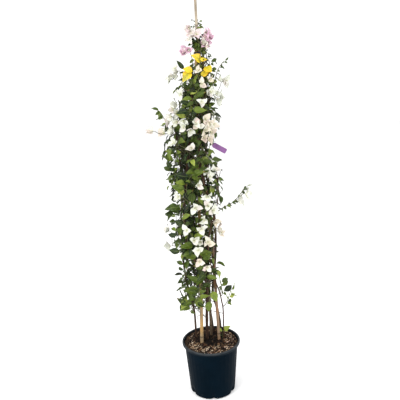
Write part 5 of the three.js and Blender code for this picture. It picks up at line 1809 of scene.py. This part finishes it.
# The bare twigs that climb from stem to stem: how many, how low the lowest starts, and how far up they go
TANGLED_TWIGS = 34
TANGLE_LOW = 0.30
TANGLE_REACH = 0.92


def tangle(host, draw):
    """Bare brown twigs that climb from stem to stem through the column."""
    middles = leafy_middles()
    bearers = [routes[node] for node in STEMS]
    for _ in range(TANGLED_TWIGS):
        low = TANGLE_LOW + TANGLE_REACH * draw.random() ** 1.2
        high = low + draw.uniform(0.10, 0.26)
        first, last = (
            at_height(draw.choice([route for route in bearers if route[0].at.z < z < route[-1].at.z]), z).at
            for z in (low, high)
        )
        way = draw.uniform(0, math.tau)
        points = [first]
        for share in (0.25, 0.5, 0.75):
            z = low + (high - low) * share
            middle, spread = column_at(z, middles)
            off = level_way(way) * spread * draw.uniform(0.3, 0.8)
            points.append((middle + off).lerp(first.lerp(last, share), 0.3))
            way += draw.uniform(0.2, 0.9)
        path = curve_through([*points, last], 0.014)
        girth = draw.uniform(0.0011, 0.0019)
        host.twig([Station(point, girth) for point in path], 1.0)


def make_low_twigs(tools):
    """Thin bare twigs round the foot of the plant, and the broad leaves that hang there."""
    host = Host()
    draw = random.Random(8)
    tangle(host, draw)
    for stem, height, points in BARE_TWIGS:
        start = at_height(routes[stem], height).at
        path = curve_through([start, *(Vector(point) for point in points)], 0.008)
        host.twig(tapering(path, 0.0014, 0.0005 / len(path)), 0.95)
    for stem, height, foot, along, face, length, half, tint in LOW_LEAVES:
        start, foot = at_height(routes[stem], height).at, Vector(foot)
        along = Vector(along).normalized()
        path = curve_through([start, start.lerp(foot, 0.55) + UP * 0.006, foot, foot + along * 0.004], 0.008)
        host.twig(tapering(path, 0.0014, 0.0004 / len(path)), 0.4)
        leaf = blade_at(foot, along, Vector(face), length, half)
        host.blade(leaf, LEAF_HALF, draw.randrange(LEAF_SHAPES), tint, draw.random())
    settle(host.grow("low_twigs", tools.leaves, tools.leaf, tools), "green_leaf")


# Ties and label

TIE_STEPS = 40
TIE_TURNS = 96
TIE_THICK = 0.0028
TIE_LUMPS = 0.00035
TIE_WAVE = 0.0003


def make_black_tie(settings):
    """Soft rubber wound round the canes, lumpy outside where its turns lie side by side."""
    low, high = (Vector(corner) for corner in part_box("tie_black"))
    middle = (low + high) / 2
    centre_line = (high.x - low.x) / 2 - TIE_THICK / 2
    profile = []
    for step in range(TIE_STEPS):
        angle = math.tau * step / TIE_STEPS
        across, up = math.cos(angle), math.sin(angle)
        lumps = TIE_LUMPS * math.cos(3 * math.pi * up) if across > 0 else 0.0
        swell = TIE_THICK / 2 * math.copysign(abs(across) ** 0.6, across)
        rise = (high.z - low.z) / 2 * math.copysign(abs(up) ** 0.7, up)
        profile.append((centre_line + swell + lumps - TIE_WAVE, middle.z + rise))
    points = []
    for turn in range(TIE_TURNS):
        angle = math.tau * turn / TIE_TURNS
        for radius, z in profile:
            points.append((middle.x + radius * math.cos(angle), middle.y + radius * math.sin(angle),
                           z + TIE_WAVE * math.sin(5 * angle)))
    faces = [(a, d, c, b) for a, b, c, d in ring_faces(TIE_TURNS, TIE_STEPS, True)]
    piece = object_of("rubber_tie", points, (), faces)
    piece.data.materials.append(material_of("Black rubber", rubber, settings.dark, settings.worn))
    settle(piece, "black_tie", "tie_black")


BAND_TURNS = 120
BAND_THICK = 0.0014
BAND_GAP = 0.0004
# The flat tie's section: how far out and how far up each corner lies, as shares of its thickness and width
BAND_SECTION = (
    (0.0, -0.5), (0.5, -0.5), (1.0, -0.42), (1.12, 0.0), (1.0, 0.42), (0.5, 0.5), (0.0, 0.5), (-0.05, 0.0),
)


def make_blue_tie(settings):
    """A flat tie pulled round the left cane and the trunk."""
    low, high = (Vector(corner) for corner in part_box("tie_blue"))
    z = (low.z + high.z) / 2
    held = [at_height(routes["cane_left"], z), at_height(routes["stem_trunk"], z)]
    points = []
    for turn in range(BAND_TURNS):
        way = level_way(math.tau * turn / BAND_TURNS)
        station = max(held, key=lambda one: one.at.dot(way) + one.radius)
        foot = Vector((*station.at.xy, 0)) + way * (station.radius + BAND_GAP)
        for out, up in BAND_SECTION:
            points.append(foot + way * out * BAND_THICK + UP * (z + up * (high.z - low.z)))
    faces = [(a, d, c, b) for a, b, c, d in ring_faces(BAND_TURNS, len(BAND_SECTION), True)]
    piece = object_of("soft_tie", points, (), faces)
    piece.data.materials.append(material_of("Blue tie", soft_tie, settings.blue, settings.pale))
    settle(piece, "blue_tie", "tie_blue")


LABEL_SLOPE = Vector((0.86, -0.1, -0.5)).normalized()
LABEL_WIDE = Vector((0.5, 0.05, 0.86))
LABEL_LENGTH = 0.064
LABEL_HALF = 0.0105
LABEL_THICK = 0.0008
LABEL_NECK = 0.0015
LABEL_SHOULDER = 0.008
LABEL_CORNER = 0.003
LABEL_BOW = 0.0009
LABEL_CUP = 0.0006
LABEL_TWIST = 0.0004
LABEL_ROWS = 33
LABEL_COLUMNS = 13
LABEL_RING = 0.0054
LABEL_WIRE = 0.0007
RING_STEPS = 48
WIRE_SIDES = 10
SEAT_GAP = 0.0003


def label_half(reach):
    """Half the label's width at a reach from its ring: a neck, a shoulder, and rounded corners."""
    half = LABEL_NECK + (LABEL_HALF - LABEL_NECK) * min(1.0, reach / LABEL_SHOULDER) ** 0.6
    left = LABEL_LENGTH - reach
    if left < LABEL_CORNER:
        half -= LABEL_CORNER - math.sqrt(max(0.0, LABEL_CORNER ** 2 - (LABEL_CORNER - left) ** 2))
    return half


def card_faces(start):
    """The faces of a card of two grids, one over the other, and of the rim between them."""
    faces = []
    layer = LABEL_ROWS * LABEL_COLUMNS
    for row in range(LABEL_ROWS - 1):
        for column in range(LABEL_COLUMNS - 1):
            a = start + row * LABEL_COLUMNS + column
            upper = (a, a + 1, a + LABEL_COLUMNS + 1, a + LABEL_COLUMNS)
            faces += [upper, tuple(corner + layer for corner in reversed(upper))]
    last, end = LABEL_ROWS - 1, LABEL_COLUMNS - 1
    rim = [(0, column) for column in range(LABEL_COLUMNS)] + [(row, end) for row in range(1, LABEL_ROWS)]
    rim += [(last, column) for column in reversed(range(end))]
    rim += [(row, 0) for row in reversed(range(1, last))]
    for here, there in zip(rim, rim[1:] + rim[:1]):
        a, b = (start + row * LABEL_COLUMNS + column for row, column in (here, there))
        faces.append((b, a, a + layer, b + layer))
    return faces


def make_label(settings):
    """A blank card with rounded corners, lightly curved, on a ring of its own strip round the shoot."""
    before, hold, after = leafy["shoot_right_arch"][0][-3:]
    way = (after.at - before.at).normalized()
    across = squared(Vector((1, 0.1, 0)), way)
    middle = hold.at + across * (LABEL_RING - hold.radius - LABEL_WIRE - 2 * SEAT_GAP)
    start = middle + across * (LABEL_RING - LABEL_WIRE / 2)
    points = []
    for step in range(RING_STEPS):
        here = middle + spoke(across, way.cross(across), math.tau * step / RING_STEPS) * LABEL_RING
        out = (here - middle).normalized()
        for turn in range(WIRE_SIDES):
            points.append(here + spoke(out, way * 1.4, math.tau * turn / WIRE_SIDES) * LABEL_WIRE)
    faces = ring_faces(RING_STEPS, WIRE_SIDES, True) + card_faces(len(points))
    wide = squared(LABEL_WIDE, LABEL_SLOPE)
    thick = LABEL_SLOPE.cross(wide)
    for sign in (1, -1):
        for along in np.linspace(0, 1, LABEL_ROWS):
            for column in range(LABEL_COLUMNS):
                over = 2 * column / (LABEL_COLUMNS - 1) - 1
                reach = along * LABEL_LENGTH
                bow = LABEL_BOW * math.sin(math.pi * along) + LABEL_CUP * (over * over - 0.5)
                bow += LABEL_TWIST * over * along
                place = start + LABEL_SLOPE * reach + wide * over * label_half(reach)
                points.append(place + thick * (bow + sign * LABEL_THICK / 2))
    piece = object_of("hanging_label", points, (), faces)
    turned = bmesh.new()
    turned.from_mesh(piece.data)
    bmesh.ops.recalc_face_normals(turned, faces=turned.faces)
    turned.to_mesh(piece.data)
    turned.free()
    piece.data.materials.append(material_of("Label card", label_card, settings.label, settings.label_worn))
    settle(piece, "purple_label", "label")


# Settings that a user would change

def colour(name, description, *levels):
    return FloatVectorProperty(
        name=name, description=description, subtype="COLOR", size=3, min=0, max=1, default=shade(*levels)
    )


def metres(name, description, default, least, most=2.0):
    return FloatProperty(
        name=name, description=description, default=default, min=least, max=most, unit="LENGTH"
    )


def power(name, description, default):
    return FloatProperty(name=name, description=description, default=default, min=0, unit="POWER")


class PotSettings(bpy.types.PropertyGroup):
    body_dark: colour("Body, dark", "The pot's plastic at its darkest", 1, 12, 21)
    body_light: colour("Body, light", "The pot's plastic where it is paler", 3, 17, 27)
    # The rim colour is partly wear and partly a painted highlight on the rolled rim.
    rim: colour("Rim", "The rubbed rolled rim", 62, 65, 67)
    dust: colour("Dust", "Dust and scuffs", 70, 74, 74)


class CompostSettings(bpy.types.PropertyGroup):
    # Dark is also the tone of the painted shadow round the stems.
    dark: colour("Dark", "The darkest fibres", 12, 8, 6)
    brown: colour("Brown", "Brown bark", 46, 31, 21)
    red_brown: colour("Red brown", "Reddish bark", 84, 50, 34)
    tan: colour("Tan", "Tan coir", 146, 116, 84)
    cream: colour("Cream", "Pale chips", 208, 190, 164)
    pinkish: colour("Pinkish", "Pinkish chips", 196, 160, 148)


class WoodSettings(bpy.types.PropertyGroup):
    ochre: colour("Ochre cane", "The left cane", 170, 134, 78)
    reddish: colour("Reddish cane", "The right cane", 142, 102, 72)
    weathered: colour("Weathered cane", "The long cane, high up", 184, 172, 152)
    # The long cane's low colour is painted shade, where it stands behind the trunk.
    shaded: colour("Shaded cane", "The long cane, low down", 84, 68, 52)
    grey: colour("Grey", "Weathering on the canes", 138, 124, 104)
    dark: colour("Dark", "Knots and furrows", 34, 22, 14)
    mid: colour("Bark", "The bark's middle tone", 58, 40, 28)
    light: colour("Ridges", "The bark's pale ridges", 104, 82, 62)
    red_bark: colour("Red bark", "Young reddish bark", 72, 42, 30)


class LeafSettings(bpy.types.PropertyGroup):
    # Deep is painted shade for the leaves deep in the column, as well as the tone of old leaves there.
    deep: colour("Deep", "Old leaves deep in the column", 9, 14, 4)
    blue_green: colour("Blue green", "The coolest leaves", 22, 40, 22)
    dark: colour("Dark", "The darker leaves", 34, 48, 10)
    middle: colour("Middle", "Most leaves", 70, 87, 24)
    light: colour("Light", "Lighter leaves", 118, 134, 50)
    young: colour("Young", "The youngest leaves", 156, 164, 76)
    vein: colour("Veins", "Midribs and side veins", 116, 134, 72)
    underside: colour("Underside", "The leaves from below", 84, 104, 60)
    worn: colour("Worn tips", "Dry leaf tips", 128, 92, 44)
    yellow: colour("Yellow", "Leaves gone yellow", 216, 192, 26)
    orange: colour("Orange", "Their orange patches", 222, 158, 60)
    young_twig: colour("Young twigs", "Green twigs", 84, 88, 44)
    old_twig: colour("Old twigs", "Brown twigs", 50, 34, 24)
    twigs: IntProperty(name="Twigs", description="Twigs that close the column", default=620, min=0, max=900)
    low: metres("Lowest foliage", "Where the filling starts", 0.40, 0.3, 1.0)
    high: metres("Highest foliage", "Where the filling ends", 1.46, 0.6, 1.5)
    least: metres("Shortest leaf", "The filling's shortest leaf", 0.019, 0.01)
    most: metres("Longest leaf", "The filling's longest leaf", 0.050, 0.02)
    room: metres("Room", "Free room kept round each leaf", 0.0064, 0.001)
    widest: FloatProperty(
        name="Widest", description="How far the filling's leaf tips reach, against the column's spread",
        default=1.28, min=0.5, max=2
    )
    seed: IntProperty(name="Seed", description="Another draw of the filling", default=4)


class BractSettings(bpy.types.PropertyGroup):
    white: colour("White", "White bracts", 228, 229, 220)
    # The white edge colour is painted shade on the white bracts.
    white_edge: colour("White, shaded", "Duller places on them", 194, 198, 184)
    cream: colour("Cream", "Cream bracts", 228, 220, 204)
    # The cream edge colour is painted shade on the cream bracts.
    cream_edge: colour("Cream edge", "Their duller places", 208, 196, 180)
    pink: colour("Pink", "Pink bracts", 228, 200, 214)
    pink_edge: colour("Pink edge", "Their deeper places", 206, 152, 188)
    blushed: colour("Blushed", "Cream bracts with a rosy tint", 220, 211, 206)
    blushed_edge: colour("Blushed edge", "Their rosier places", 204, 178, 184)
    blush: colour("Blush", "A rosy tint on some bracts", 224, 186, 200)
    heart: colour("Heart", "The greenish heart of a bract", 206, 205, 178)
    vein: colour("Veins", "The net of veins", 182, 186, 160)
    tube: colour("Flower tube", "The flowers' tubes", 170, 178, 118)
    star: colour("Flower star", "The flowers' stars", 236, 230, 196)


class TrimSettings(bpy.types.PropertyGroup):
    dark: colour("Rubber", "The rubber tie", 10, 10, 12)
    worn: colour("Rubber, worn", "Where the rubber is dusty", 44, 44, 46)
    blue: colour("Blue tie", "The soft tie", 26, 34, 74)
    pale: colour("Blue tie, pale", "Its ribs", 64, 78, 128)
    label: colour("Label", "The hanging label", 114, 66, 122)
    label_worn: colour("Label, worn", "The label where it is faded", 138, 96, 146)


class StageSettings(bpy.types.PropertyGroup):
    floor: colour("Floor", "The plain floor", 255, 255, 255)
    world: FloatProperty(name="Sky", description="Light from all round", default=1.17, min=0)
    key: power("Key light", "Power of the large soft light", 100.0)
    fill: power("Fill light", "Power of the light opposite", 35.0)


SETTINGS = {
    "bougainvillea_pot": PotSettings,
    "bougainvillea_compost": CompostSettings,
    "bougainvillea_wood": WoodSettings,
    "bougainvillea_leaves": LeafSettings,
    "bougainvillea_bracts": BractSettings,
    "bougainvillea_trim": TrimSettings,
    "bougainvillea_stage": StageSettings,
}


# Operators

class Tools:
    """The templates, the tree and the finishes that leafy pieces share; the templates go again at the end."""

    def __init__(self, scene):
        leaf, bract = scene.bougainvillea_leaves, scene.bougainvillea_bracts
        self.leaves = template_collection("Leaf shapes")
        self.bracts = template_collection("Bract shapes")
        draw = random.Random(2)
        for index in range(LEAF_SHAPES):
            leaf_template(index, draw, LEAF_HALF, self.leaves)
        draw = random.Random(6)
        for index in range(BRACT_SHAPES):
            bract_template(index, draw, self.bracts)
        flower_template("flower_closed", False, self.bracts)
        flower_template("flower_open", True, self.bracts)
        self.limb = bpy.data.node_groups.get(LIMB_NAME) or limb_tree()
        self.twig = material_of("Twig", twig_skin, leaf.young_twig, leaf.old_twig)
        self.leaf = material_of("Green leaf", leaf_skin, leaf)
        self.yellow = material_of("Yellow leaf", yellow_skin, leaf)
        self.flower = material_of("Flower", flower_skin, bract.tube, bract.star)
        palest = {"white": "white", "cream": "white", "pink": "blushed", "blushed": "white"}
        self.bract = {
            kind: material_of(kind.capitalize() + " bract", bract_skin, getattr(bract, kind),
                              getattr(bract, kind + "_edge"), getattr(bract, paler), bract)
            for kind, paler in palest.items()
        }

    def __enter__(self):
        return self

    def __exit__(self, *fault):
        discard(self.leaves)
        discard(self.bracts)


class BOUGAINVILLEA_OT_pot(bpy.types.Operator):
    """Turn the nursery pot with its rolled rim, its ribs and its notched foot"""
    bl_idname = "bougainvillea.pot"
    bl_label = "Pot"

    def execute(self, context):
        make_pot(context.scene.bougainvillea_pot)
        return {"FINISHED"}


class BOUGAINVILLEA_OT_compost(bpy.types.Operator):
    """Fill the pot with compost and strew chips over it"""
    bl_idname = "bougainvillea.compost"
    bl_label = "Compost and chips"

    def execute(self, context):
        settings = context.scene.bougainvillea_compost
        make_ground(settings)
        make_chips(settings)
        return {"FINISHED"}


class BOUGAINVILLEA_OT_canes(bpy.types.Operator):
    """Stand the three bamboo canes in the compost"""
    bl_idname = "bougainvillea.canes"
    bl_label = "Canes"

    def execute(self, context):
        make_canes(context.scene.bougainvillea_wood)
        return {"FINISHED"}


class BOUGAINVILLEA_OT_stems(bpy.types.Operator):
    """Wind the woody stems round the canes"""
    bl_idname = "bougainvillea.stems"
    bl_label = "Stems"

    def execute(self, context):
        make_stems(context.scene.bougainvillea_wood)
        return {"FINISHED"}


class BOUGAINVILLEA_OT_shoots(bpy.types.Operator):
    """Grow the leafy shoots"""
    bl_idname = "bougainvillea.shoots"
    bl_label = "Leafy shoots"

    def execute(self, context):
        with Tools(context.scene) as tools:
            make_shoots(tools)
        return {"FINISHED"}


class BOUGAINVILLEA_OT_blooms(bpy.types.Operator):
    """Grow the sprays of papery bracts with their small flowers"""
    bl_idname = "bougainvillea.blooms"
    bl_label = "Blooms"

    def execute(self, context):
        with Tools(context.scene) as tools:
            make_sprays(tools)
        return {"FINISHED"}


class BOUGAINVILLEA_OT_yellow_leaves(bpy.types.Operator):
    """Grow the bright yellow leaves under the tie"""
    bl_idname = "bougainvillea.yellow_leaves"
    bl_label = "Yellow leaves"

    def execute(self, context):
        with Tools(context.scene) as tools:
            make_yellow_leaves(tools)
        return {"FINISHED"}


class BOUGAINVILLEA_OT_small_growth(bpy.types.Operator):
    """Grow the shoot that winds up the long cane, the sprout, and the twigs at the plant's foot"""
    bl_idname = "bougainvillea.small_growth"
    bl_label = "Small growth"

    def execute(self, context):
        with Tools(context.scene) as tools:
            make_crown(tools)
            make_sprout(tools)
            make_low_twigs(tools)
        return {"FINISHED"}


class BOUGAINVILLEA_OT_filling(bpy.types.Operator):
    """Close the column with further twigs and leaves"""
    bl_idname = "bougainvillea.filling"
    bl_label = "Filling"

    def execute(self, context):
        with Tools(context.scene) as tools:
            make_filling(context.scene.bougainvillea_leaves, tools)
        return {"FINISHED"}


class BOUGAINVILLEA_OT_ties(bpy.types.Operator):
    """Put the two ties round the canes"""
    bl_idname = "bougainvillea.ties"
    bl_label = "Ties"

    def execute(self, context):
        settings = context.scene.bougainvillea_trim
        make_black_tie(settings)
        make_blue_tie(settings)
        return {"FINISHED"}


class BOUGAINVILLEA_OT_label(bpy.types.Operator):
    """Hang the blank label on its shoot"""
    bl_idname = "bougainvillea.label"
    bl_label = "Label"

    def execute(self, context):
        make_label(context.scene.bougainvillea_trim)
        return {"FINISHED"}


class BOUGAINVILLEA_OT_stage(bpy.types.Operator):
    """Lay the plain floor, set the soft lights and aim the camera"""
    bl_idname = "bougainvillea.stage"
    bl_label = "Stage"

    def execute(self, context):
        settings = context.scene.bougainvillea_stage
        floor = lathed("floor", FLOOR_OUTLINE, FLOOR_TURNS)
        floor.data.materials.append(material_of("Floor", floor_paint, settings.floor))
        world = bpy.data.worlds.new("Studio")
        world.use_nodes = True
        mix = Recipe(world.node_tree)
        sky = mix.add("ShaderNodeBackground", {"Color": (1, 1, 1, 1), "Strength": settings.world})
        mix.add("ShaderNodeOutputWorld", {"Surface": sky.outputs[0]})
        context.scene.world = world
        for name, (place, size) in LAMPS.items():
            light = bpy.data.lights.new(name, "AREA")
            light.shape, light.size, light.energy = "DISK", size, getattr(settings, name)
            lamp = bpy.data.objects.new(name, light)
            lamp.location = place
            lamp.rotation_euler = (LAMP_AIM - Vector(place)).to_track_quat("-Z", "Y").to_euler()
            context.scene.collection.objects.link(lamp)
        lens = bpy.data.cameras.new("camera")
        lens.sensor_width = SENSOR_MM
        lens.lens = FOCAL_PIXELS / PHOTO_PIXELS * SENSOR_MM
        camera = bpy.data.objects.new("camera", lens)
        forward = Vector((
            math.sin(CAMERA_YAW) * math.cos(CAMERA_PITCH), math.cos(CAMERA_YAW) * math.cos(CAMERA_PITCH),
            -math.sin(CAMERA_PITCH),
        ))
        right = forward.cross(UP).normalized()
        up = right.cross(forward)
        c, s = math.cos(CAMERA_ROLL), math.sin(CAMERA_ROLL)
        turned = Matrix((right * c + up * s, up * c - right * s, -forward)).transposed()
        camera.rotation_euler = turned.to_euler()
        camera.location = CAMERA_PLACE
        context.scene.collection.objects.link(camera)
        context.scene.camera = camera
        context.scene.view_settings.view_transform = "Standard"
        return {"FINISHED"}


class BOUGAINVILLEA_PT_panel(bpy.types.Panel):
    """Lists the operators in their order, and the settings"""
    bl_label = "Bougainvillea"
    bl_idname = "BOUGAINVILLEA_PT_panel"
    bl_space_type = "VIEW_3D"
    bl_region_type = "UI"
    bl_category = "Bougainvillea"

    def draw(self, context):
        for operator in OPERATORS:
            self.layout.operator(operator.bl_idname)
        for name, group in SETTINGS.items():
            box = self.layout.box()
            for setting in group.__annotations__:
                box.prop(getattr(context.scene, name), setting)


OPERATORS = (
    BOUGAINVILLEA_OT_stage, BOUGAINVILLEA_OT_pot, BOUGAINVILLEA_OT_compost, BOUGAINVILLEA_OT_canes,
    BOUGAINVILLEA_OT_stems, BOUGAINVILLEA_OT_shoots, BOUGAINVILLEA_OT_blooms,
    BOUGAINVILLEA_OT_yellow_leaves, BOUGAINVILLEA_OT_small_growth, BOUGAINVILLEA_OT_filling,
    BOUGAINVILLEA_OT_ties, BOUGAINVILLEA_OT_label,
)


def register():
    for part in (*SETTINGS.values(), *OPERATORS, BOUGAINVILLEA_PT_panel):
        bpy.utils.register_class(part)
    for name, group in SETTINGS.items():
        setattr(bpy.types.Scene, name, PointerProperty(type=group))


def unregister():
    for name in SETTINGS:
        delattr(bpy.types.Scene, name)
    for part in (BOUGAINVILLEA_PT_panel, *reversed(OPERATORS), *reversed(SETTINGS.values())):
        bpy.utils.unregister_class(part)


def main():
    register()
    for operator in OPERATORS:
        group, name = operator.bl_idname.split(".")
        getattr(getattr(bpy.ops, group), name)()


if __name__ == "__main__":
    main()
